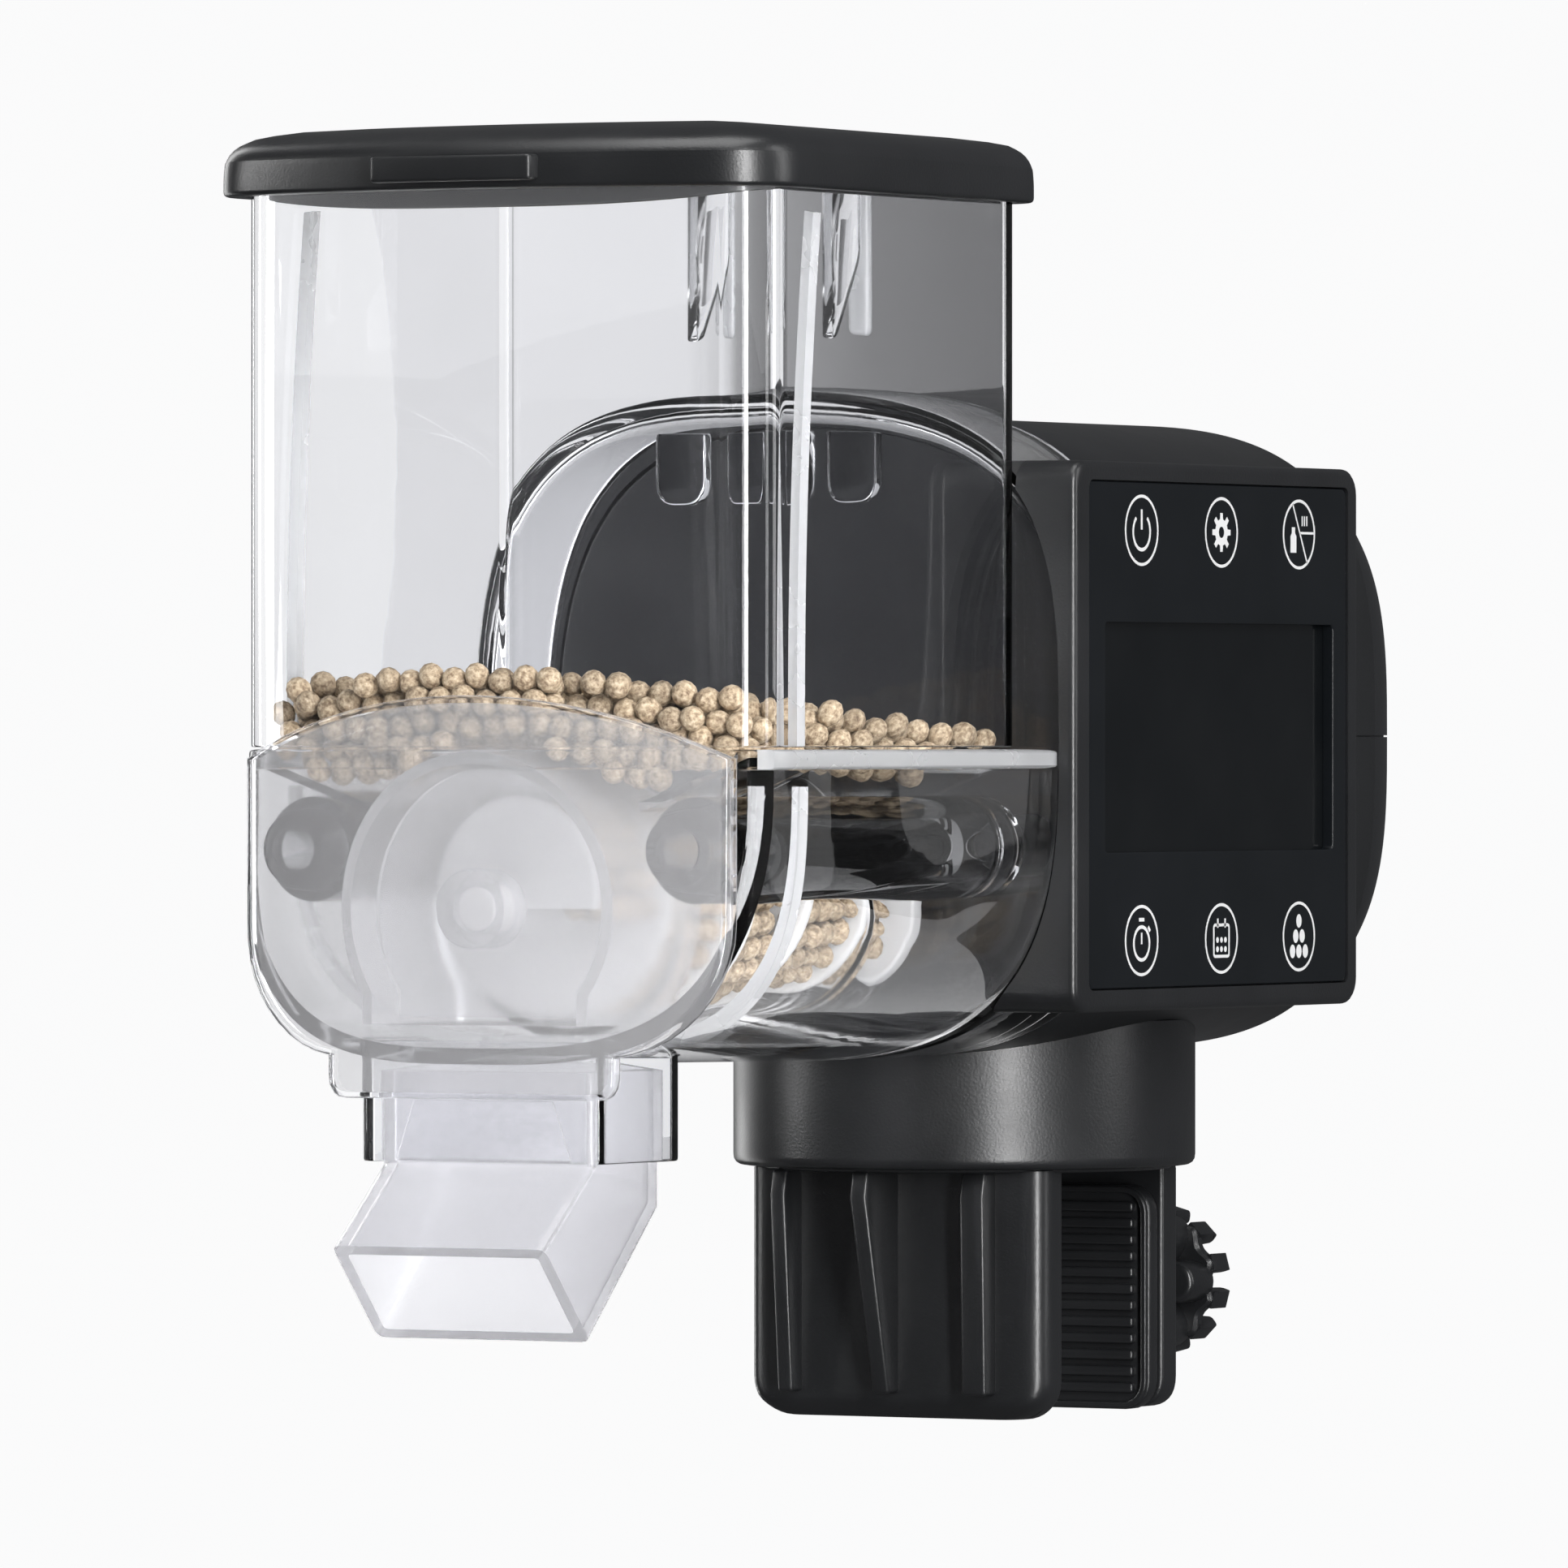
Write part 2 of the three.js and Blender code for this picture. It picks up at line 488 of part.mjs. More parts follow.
function shaftBush() {
  return cut(rodY(4.9, -19.6, -13, 0, auger.z, 24), rodY(3.3, -24, -10, 0, auger.z, 16));
}

// A rectangle in Y,Z with rounded corners, `inset` inside the frame given.
function upright(frame, inset, radius) {
  const [y, z] = [(frame.rear + frame.front) / 2, (frame.top + frame.bottom) / 2];
  return roundRect((frame.rear - frame.front) / 2 - inset, (frame.top - frame.bottom) / 2 - inset, z, radius, 3)
    .map(([dy, at]) => [dy + y, at]);
}

function panelBezel() {
  const block = alongX(upright(panel, 0, 3.5), 30, panel.face);
  const bed = alongX(upright(glass, -GAP, 1), panel.face - 2, panel.face + 1);
  const window = alongX(upright(screen, -GAP, 0.6), 20, 60);
  const casing = houseForm(-GAP, house.front - GAP);
  const clearCup = alongY(oval(cup.halfX + GAP, cup.halfZ + GAP, cup.z), -70, house.front + GAP);
  const hollow = alongX(upright(glass, 2, 1), 20, panel.face - 4.6);
  const clearBin = box(20, bin.halfX + 0.5, -70, bin.rear + 0.5, 50, 120);
  return cut(block, bed, window, casing, clearCup, hollow, clearBin, rodZ(collar.radius + GAP, 0, 30, 0, 0, 36));
}

function touchPanel() {
  return cut(alongX(upright(glass, 0, 1), panel.face - 1.8, panel.face - 0.2), alongX(upright(screen, 0.4, 0.6), 40, 60));
}

function displayModule() {
  return alongX(upright(screen, 0, 0.6), panel.face - 2.35, panel.face - 1.8 - 0.05).intersect(box(48.95, 60, -60, 30, 40, 80));
}

function controlBoard() {
  return box(38, 39.6, -30, 20, 36, 88);
}

function powerSocket() {
  const shell = box(-4.6, 4.6, 41, 48.6, 28.2, 31.3);
  const mouth = box(-4.1, 4.1, 43, 50, 28.7, 30.8);
  return join(cut(shell, mouth), box(-3.2, 3.2, 42, 47.8, 29.45, 30.05));
}

function casingScrew(x, y) {
  return join(rodZ(2.8, 32, 33.7, x, y, 12), rodZ(1.3, 33.6, 72, x, y, 8));
}

// -- clamp --
function clampBracket() {
  const table = rodZ(30, 0, collar.webBottom - GAP * 2, 0, 0, 40);
  const boss = rodZ(8, 2, collar.webTop + 0.2, 0, 0, 24);
  const slab = (part, y0, y1) => alongY([
    [part.halfX, 0.4], [-part.halfX, 0.4],
    ...arc(-part.halfX + part.corner, part.bottom + part.corner, part.corner, Math.PI, 1.5 * Math.PI, 4),
    ...arc(part.halfX - part.corner, part.bottom + part.corner, part.corner, 1.5 * Math.PI, 2 * Math.PI, 4),
  ], y0, y1);
  // The front jaw has rounded upright edges.
  const round = 3.2;
  const rounded = alongZ([
    [-jaw.halfX, jaw.back], ...arc(-jaw.halfX + round, jaw.front + round, round, Math.PI, 1.5 * Math.PI, 4),
    ...arc(jaw.halfX - round, jaw.front + round, round, 1.5 * Math.PI, 2 * Math.PI, 4), [jaw.halfX, jaw.back],
  ], -40, 1);
  // Each rib: its two sides along X, then how far it stands out at its top and at its foot.
  const ribs = [[-17.3, -14.9, 5.1, 2.8], [-1.9, 0.8, 9.6, 2.8], [12.6, 16.5, 3.7, 3]].map(([left, right, top, foot]) =>
    alongX([[jaw.front + 1, -31.6], [jaw.front + 1, 0.1], [jaw.front - top, 0.1], [jaw.front - foot, -31.6]], left, right));
  return cut(join(table, boss, slab(jaw, jaw.front, jaw.back).intersect(rounded), slab(arm, arm.front, arm.back), ...ribs),
    rodY(5.4, arm.front - 1, arm.back + 1, 0, screw.z, 6), rodZ(1.9, 2, 20, 0, 0, 12));
}

function ridged(face, back, top, bottom, halfX, pitch, out) {
  const points = [[back, bottom], [back, top], [face, top]];
  const count = Math.floor((top - bottom - 3) / pitch);
  const start = (top + bottom) / 2 + (count * pitch) / 2;
  for (let i = 0; i < count; i++) {
    const z = start - i * pitch;
    points.push([face, z - 0.5], [face + out, z - 0.9], [face + out, z - pitch + 0.5], [face, z - pitch + 0.1]);
  }
  points.push([face, bottom]);
  const turned = THREE.ShapeUtils.isClockWise(points.map(([x, y]) => new THREE.Vector2(x, y))) ? points.reverse() : points;
  return alongX(turned, -halfX, halfX);
}

function jawGripPad() {
  return ridged(jaw.face, jaw.back + GAP, -3, -31.5, 20.5, 2.3, -0.8);
}

function pressurePlate() {
  const [half, middle] = [(pad.top - pad.bottom) / 2, (pad.top + pad.bottom) / 2];
  const frame = cut(alongY(roundRect(pad.halfX, half, middle, pad.corner, 3), pad.face, pad.back),
    box(-pad.halfX + 2, pad.halfX - 2, pad.face - 1, pad.face + 1, pad.bottom + 1, pad.top - 1));
  const ridges = ridged(pad.face, pad.back, pad.top, pad.bottom, pad.halfX - 1.9, 2.3, 0.9)
    .intersect(alongY(roundRect(pad.halfX, half, middle, pad.corner, 3), pad.face, pad.back));
  return cut(join(frame, ridges), rodY(2.5, pad.back - 1.6, pad.back + 1, 0, screw.z, 16));
}

function clampScrew() {
  return join(rodY(screw.radius, pad.back + GAP, screw.knobFront + 5, 0, screw.z, 16),
    rodY(2, pad.back - 1.3, pad.back + 1, 0, screw.z, 12));
}

function clampKnob() {
  const lobed = (grow) => {
    const points = [];
    for (let i = 0; i < screw.lobes * 8; i++) {
      const angle = (2 * Math.PI * (i + 0.5)) / (screw.lobes * 8);
      const r = screw.knobRadius - 1.7 + 1.7 * Math.cos(screw.lobes * angle) + grow;
      points.push([r * Math.cos(angle), screw.z + r * Math.sin(angle)]);
    }
    return points;
  };
  const teeth = [];
  for (let i = 0; i < 12; i++) {
    const angle = (2 * Math.PI * (i + 0.5)) / 12;
    teeth.push(box(-1.2, 1.2, screw.knobBack - screw.crown, screw.knobBack, 8.4, 10.9).rotate([0, (angle * 180) / Math.PI, 0])
      .translate([0, 0, screw.z]));
  }
  return cut(join(alongY(lobed(0), screw.knobFront, screw.knobBack - screw.crown), ...teeth.map((tooth) =>
    join(tooth, rodY(9.6, screw.knobBack - screw.crown - 1, screw.knobBack - screw.crown + 0.6, 0, screw.z, 24)))),
  rodY(screw.radius + GAP, screw.knobFront - 1, screw.knobFront + 5 + GAP, 0, screw.z, 16));
}

function nutInsert() {
  return cut(rodY(5.1, arm.front + 0.5, arm.back - 0.5, 0, screw.z, 6), rodY(screw.radius + GAP, 0, 40, 0, screw.z, 16));
}

function retainerDisc() {
  return cut(rodZ(13, collar.webTop + 0.5, collar.webTop + 2.3), rodZ(1.9, 0, 20, 0, 0, 12));
}

function retainerScrew() {
  return join(rodZ(1.6, 3.2, collar.webTop + 2.8, 0, 0, 12), rodZ(3.6, collar.webTop + 2.6, collar.webTop + 4.6, 0, 0, 16));
}

piece("hopper_bin", hopperBin(), "clear");
piece("auger_housing", augerHousing(), "clear");
piece("outlet_sleeve", outletSleeve(), "clear");
piece("feed_trough", feedTrough(), "clear");
piece("guide_tube_left", guideTube(-1), "clear");
piece("guide_tube_right", guideTube(1), "clear");
piece("front_cover", frontCover(), "frosted");
piece("auger_screw", augerScrew(), "white");
piece("outlet_chute", outletChute(), "frosted");
piece("lid", lid(), "black");
piece("food_pellets", feedBed(), "pellets");
piece("casing_upper", casingUpper(), "black");
piece("casing_lower", casingLower(), "black");
piece("swivel_collar", swivelCollar(), "black");
piece("casing_front_plate", frontPlate(), "black");
piece("shaft_seal", shaftSeal(), "rubber");
piece("drive_gear", driveGear(), "nylon");
piece("drive_shaft", driveShaft(), "steel");
piece("motor_pinion", motorPinion(), "brass");
piece("drive_motor", driveMotor(), "steel");
piece("motor_bracket", motorBracket(), "black");
piece("motor_clip", motorClip(), "nylon");
piece("shaft_bush", shaftBush(), "brass");
piece("panel_bezel", panelBezel(), "black");
piece("touch_panel", touchPanel(), "glossBlack");
piece("display_module", displayModule(), "screen");
piece("control_board", controlBoard(), "board");
piece("power_socket", powerSocket(), "steel");
bosses.forEach(([x, y], i) => piece(`casing_screw_${i + 1}`, casingScrew(x, y), "steel"));
piece("clamp_bracket", clampBracket(), "black");
piece("jaw_grip_pad", jawGripPad(), "rubber");
piece("pressure_plate", pressurePlate(), "black");
piece("clamp_screw", clampScrew(), "steel");
piece("clamp_knob", clampKnob(), "black");
piece("nut_insert", nutInsert(), "brass");
piece("swivel_retainer", retainerDisc(), "steel");
piece("swivel_screw", retainerScrew(), "steel");

export default feeder;
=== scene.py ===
"""Looks of an automatic fish feeder: clear hopper, frosted outlet, dark drive unit, tank-rim clamp.

Lengths are in millimetres in the shared frame (+X the panel side, -Y the outlet side, +Z up) and become
metres where a mesh is made.
"""
import json
import math
import random

import bmesh
import bpy
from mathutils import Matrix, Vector


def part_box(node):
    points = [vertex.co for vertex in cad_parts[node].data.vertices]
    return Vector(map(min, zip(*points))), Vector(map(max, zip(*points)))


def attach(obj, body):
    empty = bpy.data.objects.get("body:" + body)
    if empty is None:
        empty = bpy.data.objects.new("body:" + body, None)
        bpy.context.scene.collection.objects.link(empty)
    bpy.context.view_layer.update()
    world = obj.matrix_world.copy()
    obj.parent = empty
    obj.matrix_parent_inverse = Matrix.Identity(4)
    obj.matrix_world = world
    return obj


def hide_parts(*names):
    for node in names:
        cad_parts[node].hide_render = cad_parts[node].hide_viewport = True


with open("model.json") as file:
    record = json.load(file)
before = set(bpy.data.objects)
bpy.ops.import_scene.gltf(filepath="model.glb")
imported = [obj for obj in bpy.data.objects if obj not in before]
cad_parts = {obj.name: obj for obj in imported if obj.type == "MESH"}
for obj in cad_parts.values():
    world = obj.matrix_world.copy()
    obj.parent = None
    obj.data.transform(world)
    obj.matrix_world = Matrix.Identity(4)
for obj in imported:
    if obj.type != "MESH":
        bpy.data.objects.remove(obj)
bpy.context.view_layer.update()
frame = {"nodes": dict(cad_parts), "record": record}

MM = 0.001
TAU = 2 * math.pi


def span(node):
    """Lowest and highest corner of a CAD node, in millimetres."""
    low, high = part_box(node)
    return low / MM, high / MM


# ---- driving dimensions, from the frame ----
BIN_LOW, BIN_HIGH = span("hopper_bin")
LID_LOW, LID_HIGH = span("lid")
BODY_HIGH = span("auger_housing")[1]
SLEEVE_LOW = span("outlet_sleeve")[0]
AUGER_LOW, AUGER_HIGH = span("auger_screw")
COVER_LOW, COVER_HIGH = span("front_cover")
CHUTE_HIGH = span("outlet_chute")[1]
TUBE_LOW, TUBE_HIGH = span("guide_tube_right")
CASE_LOW, CASE_HIGH = span("casing_upper")
BEZEL_LOW, BEZEL_HIGH = span("panel_bezel")
GLASS_LOW, GLASS_HIGH = span("touch_panel")
SCREEN_LOW, SCREEN_HIGH = span("display_module")
COLLAR_HIGH = span("swivel_collar")[1]
JAW_LOW = span("clamp_bracket")[0]
PLATE_LOW, PLATE_HIGH = span("pressure_plate")
SCREW_LOW, SCREW_HIGH = span("clamp_screw")
KNOB_LOW, KNOB_HIGH = span("clamp_knob")

WALL = 2.2  # of the clear pieces
HALF = BIN_HIGH.x  # half the bin's width
BIN_FRONT = BIN_LOW.y
BIN_REAR = -59.6
FLANGE = -59.5  # where the lower body meets its rear cup
BODY_TOP = 60.0
CUP_HALF = BODY_HIGH.x
CUP_Z = 62.3
CUP_HEIGHT = BODY_HIGH.z - CUP_Z
AXIS_Z = (AUGER_LOW.z + AUGER_HIGH.z) / 2
TUBE_X = (TUBE_LOW.x + TUBE_HIGH.x) / 2
TUBE_Z = (TUBE_LOW.z + TUBE_HIGH.z) / 2
TUBE_R = (TUBE_HIGH.x - TUBE_LOW.x) / 2
CASE_HALF = CASE_HIGH.x
CASE_Z = 61.8
CASE_HEIGHT = CASE_HIGH.z - CASE_Z
SCREW_Z = (SCREW_LOW.z + SCREW_HIGH.z) / 2
PELLET = 1.8  # a pellet's radius
SQUARENESS = 0.64  # of the rounded outlines: 1 is an ellipse, less is squarer
VIEW_AZIMUTH = 29.5  # of the photo's camera, in degrees
FLOOR_Z = -0.45  # metres


# ---- materials ----
def principled(name, **values):
    """A new Principled material: (material, its node tree, its shader)."""
    material = bpy.data.materials.new(name)
    material.use_nodes = True
    shader = material.node_tree.nodes["Principled BSDF"]
    for socket, value in values.items():
        shader.inputs[socket.replace("_", " ")].default_value = value
    return material, material.node_tree, shader


def noise(tree, scale, detail=3.0, roughness=0.5):
    """A 0..1 noise in the object's own metres."""
    place = tree.nodes.new("ShaderNodeTexCoord")
    texture = tree.nodes.new("ShaderNodeTexNoise")
    texture.inputs["Scale"].default_value = scale
    texture.inputs["Detail"].default_value = detail
    texture.inputs["Roughness"].default_value = roughness
    tree.links.new(place.outputs["Object"], texture.inputs["Vector"])
    return texture.outputs["Fac"]


def spread(tree, source, low, high, target):
    """Feeds a 0..1 factor, mapped to low..high, to a socket."""
    ramp = tree.nodes.new("ShaderNodeMapRange")
    for socket, value in (("From Min", 0.3), ("From Max", 0.7), ("To Min", low), ("To Max", high)):
        ramp.inputs[socket].default_value = value
    tree.links.new(source, ramp.inputs["Value"])
    tree.links.new(ramp.outputs["Result"], target)


def bump(tree, shader, source, distance):
    node = tree.nodes.new("ShaderNodeBump")
    node.inputs["Strength"].default_value = 1.0
    node.inputs["Distance"].default_value = distance
    tree.links.new(source, node.inputs["Height"])
    tree.links.new(node.outputs["Normal"], shader.inputs["Normal"])


def tint(tree, shader, source, dark, light):
    ramp = tree.nodes.new("ShaderNodeValToRGB")
    stops = ramp.color_ramp.elements
    stops[0].position, stops[0].color = 0.32, (*dark, 1)
    stops[1].position, stops[1].color = 0.68, (*light, 1)
    tree.links.new(source, ramp.inputs["Fac"])
    tree.links.new(ramp.outputs["Color"], shader.inputs["Base Color"])


def moulded(name, dark, light, rough, grain=2600, depth=2.5e-5, **values):
    """Moulded plastic: spark-eroded grain, slightly uneven gloss and colour."""
    material, tree, shader = principled(name, **values)
    fine = noise(tree, grain, 2.0)
    broad = noise(tree, 60, 4.0)
    tint(tree, shader, broad, dark, light)
    spread(tree, broad, rough - 0.05, rough + 0.05, shader.inputs["Roughness"])
    bump(tree, shader, fine, depth)
    return material


def clear_plastic(name, colour, rough_low, rough_high, wave, depth, passes=1.0, ior=1.46):
    """Clear or frosted styrene: light passes, and flow marks bend it slightly."""
    material, tree, shader = principled(name, Transmission_Weight=passes, IOR=ior)
    texture = noise(tree, wave, 3.0)
    tint(tree, shader, texture, [c * 0.985 for c in colour], colour)
    spread(tree, texture, rough_low, rough_high, shader.inputs["Roughness"])
    bump(tree, shader, texture, depth)
    return material


def pellet_material():
    material, tree, shader = principled("dry_pellet", Roughness=0.75)
    speckle = noise(tree, 1500, 5.0, 0.65)
    ramp = tree.nodes.new("ShaderNodeValToRGB")
    stops = ramp.color_ramp.elements
    stops[0].position, stops[0].color = 0.34, (0.155, 0.10, 0.058, 1)
    stops[1].position, stops[1].color = 0.70, (0.68, 0.565, 0.41, 1)
    middle = stops.new(0.5)
    middle.color = (0.385, 0.295, 0.195, 1)
    tree.links.new(speckle, ramp.inputs["Fac"])
    island = tree.nodes.new("ShaderNodeNewGeometry")
    shade = tree.nodes.new("ShaderNodeHueSaturation")
    spread(tree, island.outputs["Random Per Island"], 0.85, 1.1, shade.inputs["Value"])
    tree.links.new(ramp.outputs["Color"], shade.inputs["Color"])
    tree.links.new(shade.outputs["Color"], shader.inputs["Base Color"])
    bump(tree, shader, speckle, 1.6e-4)
    return material


def metal(name, colour, rough):
    material, tree, shader = principled(name, Metallic=1.0)
    streaks = noise(tree, 900, 2.0)
    tint(tree, shader, streaks, [c * 0.88 for c in colour], colour)
    spread(tree, streaks, rough, rough + 0.12, shader.inputs["Roughness"])
    return material


LOOKS = {  # the record's slot: its material
    "clear_plastic": clear_plastic("clear_styrene", (0.965, 0.968, 0.98), 0.0, 0.03, 55, 0.9e-5),
    "frosted_plastic": clear_plastic("frosted_styrene", (0.75, 0.75, 0.775), 0.2, 0.26, 900, 1.0e-5, 0.85),
    "white_plastic": moulded("white_acetal", (0.60, 0.60, 0.595), (0.65, 0.65, 0.645), 0.35, 900, 1e-5),
    "dark_plastic": moulded("dark_abs", (0.0125, 0.0132, 0.0145), (0.0155, 0.0163, 0.018), 0.34,
                            Specular_IOR_Level=0.85),
    "panel_black": moulded("panel_black", (0.006, 0.0075, 0.009), (0.008, 0.0095, 0.0115), 0.2, 400, 2e-6),
    "screen_dark": moulded("screen_dark", (0.004, 0.005, 0.006), (0.006, 0.007, 0.008), 0.12, 400, 1e-6),
    "grip_rubber": moulded("grip_rubber", (0.012, 0.012, 0.013), (0.02, 0.02, 0.021), 0.8, 1800, 4e-5),
    "steel": metal("plain_steel", (0.62, 0.63, 0.65), 0.25),
    "motor_can": metal("motor_can", (0.55, 0.56, 0.58), 0.3),
    "brass": metal("turned_brass", (0.72, 0.52, 0.22), 0.25),
    "gear_nylon": moulded("gear_nylon", (0.72, 0.68, 0.56), (0.80, 0.77, 0.66), 0.45, 1500, 1e-5),
    "circuit_board": moulded("circuit_board", (0.012, 0.09, 0.035), (0.02, 0.13, 0.05), 0.35, 700, 1e-5),
    "pellets": pellet_material(),
}
COVER_HAZE = clear_plastic("hazy_styrene", (0.73, 0.73, 0.745), 0.16, 0.2, 900, 1.0e-5, 0.76, 1.12)
CHAMBER = clear_plastic("milky_styrene", (0.82, 0.82, 0.835), 0.2, 0.24, 900, 1.0e-5, 0.82, 1.2)
THIN_CLEAR = clear_plastic("thin_clear_styrene", (0.97, 0.97, 0.975), 0.0, 0.02, 70, 1.0e-5, 1.0, 1.1)
# Ribs and rims of the clear hopper get a lighter, half-clear styrene. Its brightness is a painted highlight,
# standing for the light that clear plastic catches when seen edge-on.
PAINTED_BRIGHT_EDGE = clear_plastic("painted_bright_edge_styrene", (0.60, 0.605, 0.615), 0.22, 0.3, 120, 2.0e-5, 0.45)
PRINT = moulded("white_print", (0.80, 0.80, 0.80), (0.88, 0.88, 0.88), 0.5, 2000, 5e-6)


def dress(mesh, look, sharp):
    """One material and smooth shading. Edges over `sharp` degrees stay sharp."""
    mesh.materials.clear()
    mesh.materials.append(look)
    mesh.polygons.foreach_set("use_smooth", [True] * len(mesh.polygons))
    mesh.set_sharp_from_angle(angle=math.radians(sharp))


for sub in frame["record"]["subparts"]:
    dress(frame["nodes"][sub["node"]].data, LOOKS[sub["material_slot"]], 32)


# ---- mesh building ----
def loft(rings, loop=False, cap=True):
    """Points and faces of a skin through rings of as many points each. loop joins last to first."""
    size = len(rings[0])
    points = [p for ring in rings for p in ring]
    faces = []
    for k in range(len(rings) if loop else len(rings) - 1):
        a, b = k * size, (k + 1) % len(rings) * size
        faces += [(a + i, a + (i + 1) % size, b + (i + 1) % size, b + i) for i in range(size)]
    if cap and not loop:
        last = (len(rings) - 1) * size
        faces += [tuple(reversed(range(size))), tuple(range(last, last + size))]
    return points, faces


def outward(mesh, points, faces):
    """A bmesh of the points and faces, turned outwards. The mesh given is filled on the way."""
    mesh.from_pydata(points, [], faces)
    bm = bmesh.new()
    bm.from_mesh(mesh)
    bmesh.ops.recalc_face_normals(bm, faces=bm.faces)
    return bm


def outward_mesh(name, points, faces):
    """A mesh from points in millimetres, its faces turned outwards."""
    mesh = bpy.data.meshes.new(name)
    bm = outward(mesh, [Vector(p) * MM for p in points], faces)
    bm.to_mesh(mesh)
    bm.free()
    return mesh


def make(name, parts, slot, body, replaces=(), look=None, sharp=35):
    """One piece from (points, faces) parts in millimetres. Edges over `sharp` degrees stay sharp."""
    points, faces = [], []
    for part_points, part_faces in parts:
        faces += [tuple(i + len(points) for i in face) for face in part_faces]
        points += part_points
    return place(name, outward_mesh(name, points, faces), slot, body, replaces, look, sharp)


def add(name, data):
    """A new object in the scene."""
    thing = bpy.data.objects.new(name, data)
    bpy.context.scene.collection.objects.link(thing)
    return thing


def place(name, mesh, slot, body, replaces=(), look=None, sharp=35):
    """A finished mesh as a piece that rides its body."""
    look = look or LOOKS[slot]
    dress(mesh, look, sharp)
    piece = add(name, mesh)
    if "styrene" in look.name:  # light passes straight through the clear walls
        piece.visible_shadow = False
    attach(piece, body)
    if replaces:
        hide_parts(*replaces)
    return piece


def soften(corners, closed=True, steps=4):
    """A polyline through (u, v, setback) corners, each rounded over its setback."""
    points = []
    count = len(corners)
    for i, (u, v, setback) in enumerate(corners):
        if setback == 0 or (not closed and i in (0, count - 1)):
            points.append((u, v))
            continue
        corner = Vector((u, v))
        ways = [(Vector(corners[(i + k) % count][:2]) - corner).normalized() for k in (-1, 1)]
        ends = [corner + way * setback for way in ways]
        for k in range(steps + 1):
            t = k / steps
            p = ends[0] * (1 - t) ** 2 + corner * 2 * t * (1 - t) + ends[1] * t * t
            points.append((p.x, p.y))
    return points


def bent(corners, steps=4):
    """An open polyline with rounded corners."""
    return soften(corners, False, steps)


def polar(radius, angle):
    return radius * math.cos(angle), radius * math.sin(angle)


def arc(cx, cy, radius, start, end, steps):
    around = [polar(radius, start + (end - start) * i / steps) for i in range(steps + 1)]
    return [(cx + u, cy + v) for u, v in around]


def circle(radius, steps=40, cx=0.0, cy=0.0, tall=1.0):
    return [(cx + u, cy + tall * v) for u, v in [polar(radius, TAU * i / steps) for i in range(steps)]]


def oval(half_x, half_z, z, start=0.0, end=TAU, steps=120):
    """Points of a rounded outline about (0, z)."""
    points = []
    for i in range(steps if end - start > 6 else steps + 1):
        angle = start + (end - start) * i / steps
        u, v = [math.copysign(abs(c) ** SQUARENESS, c) for c in polar(1, angle)]
        points.append((half_x * u, z + half_z * v))
    return points


def rounded_box(u0, u1, v0, v1, radius, steps=6):
    left, right, low, high = u0 + radius, u1 - radius, v0 + radius, v1 - radius
    centres = [(right, high), (left, high), (left, low), (right, low)]
    return [p for i, c in enumerate(centres) for p in arc(*c, radius, i * TAU / 4, (i + 1) * TAU / 4, steps)]


def along_y(outline, y):
    return [(x, y, z) for x, z in outline]


def along_z(outline, z):
    return [(x, y, z) for x, y in outline]


def along_x(outline, x):
    return [(x, y, z) for y, z in outline]


def turned(profile, x, z, steps=64):
    """Rings about the Y axis through (x, z), from (radius, y) pairs."""
    return [[(x + u, y, z + v) for u, v in circle(r, steps)] for r, y in profile]


def upright_turned(profile):
    """Rings about the Z axis, from (radius, z) pairs."""
    return [along_z(circle(r, 96), z) for r, z in profile]


def bevelled(points, faces, width, segments=3, angle=30):
    """The same solid with its sharp edges rounded."""
    mesh = bpy.data.meshes.new("bevelled")
    bm = outward(mesh, points, faces)
    sharp = [e for e in bm.edges if len(e.link_faces) == 2 and e.calc_face_angle(0) > math.radians(angle)]
    bmesh.ops.bevel(bm, geom=sharp, offset=width, segments=segments, profile=0.5, affect="EDGES",
                    clamp_overlap=True)
    made = [tuple(v.co) for v in bm.verts], [tuple(v.index for v in f.verts) for f in bm.faces]
    bm.free()
    bpy.data.meshes.remove(mesh)
    return made


def slab(along, outline, start, end, *bevel):
    """An outline drawn out from start to end, with rounded edges."""
    return bevelled(*loft([along(outline, start), along(outline, end)]), *bevel)


def block(x0, x1, y0, y1, z0, z1, round_edges=0.4):
    return slab(along_z, [(x0, y0), (x1, y0), (x1, y1), (x0, y1)], z0, z1, round_edges)


# ---- the hopper's plan: flat sides and back, a convex front ----
FRONT_SAG = 7.0
FRONT_CORNER = 8.5


def front_arc(grow, reach):
    """The front's circles: (radius, centre y, corner radius, corner x, corner y)."""
    half, front = HALF + grow, BIN_FRONT - reach
    radius = (HALF ** 2 + FRONT_SAG ** 2) / (2 * FRONT_SAG) + reach
    centre_y = front + radius
    corner = max(FRONT_CORNER + grow, 1.0)
    corner_x = half - corner
    corner_y = centre_y - math.sqrt((radius - corner) ** 2 - corner_x ** 2)
    return radius, centre_y, corner, corner_x, corner_y


def plan(grow, reach=None):
    reach = grow if reach is None else reach
    radius, centre_y, corner, corner_x, corner_y = front_arc(grow, reach)
    half, rear = HALF + grow, BIN_REAR + grow
    back = max(3.0 + grow, 0.8)
    turn = math.atan2(corner_y - centre_y, corner_x)
    return [
        *arc(half - back, rear - back, back, 0, TAU / 4, 6),
        *arc(-half + back, rear - back, back, TAU / 4, TAU / 2, 6),
        *arc(-corner_x, corner_y, corner, TAU / 2, TAU / 2 - turn, 10),
        *arc(0, centre_y, radius, -TAU / 2 - turn, turn, 30)[1:-1],
        *arc(corner_x, corner_y, corner, turn, 0, 10),
    ]


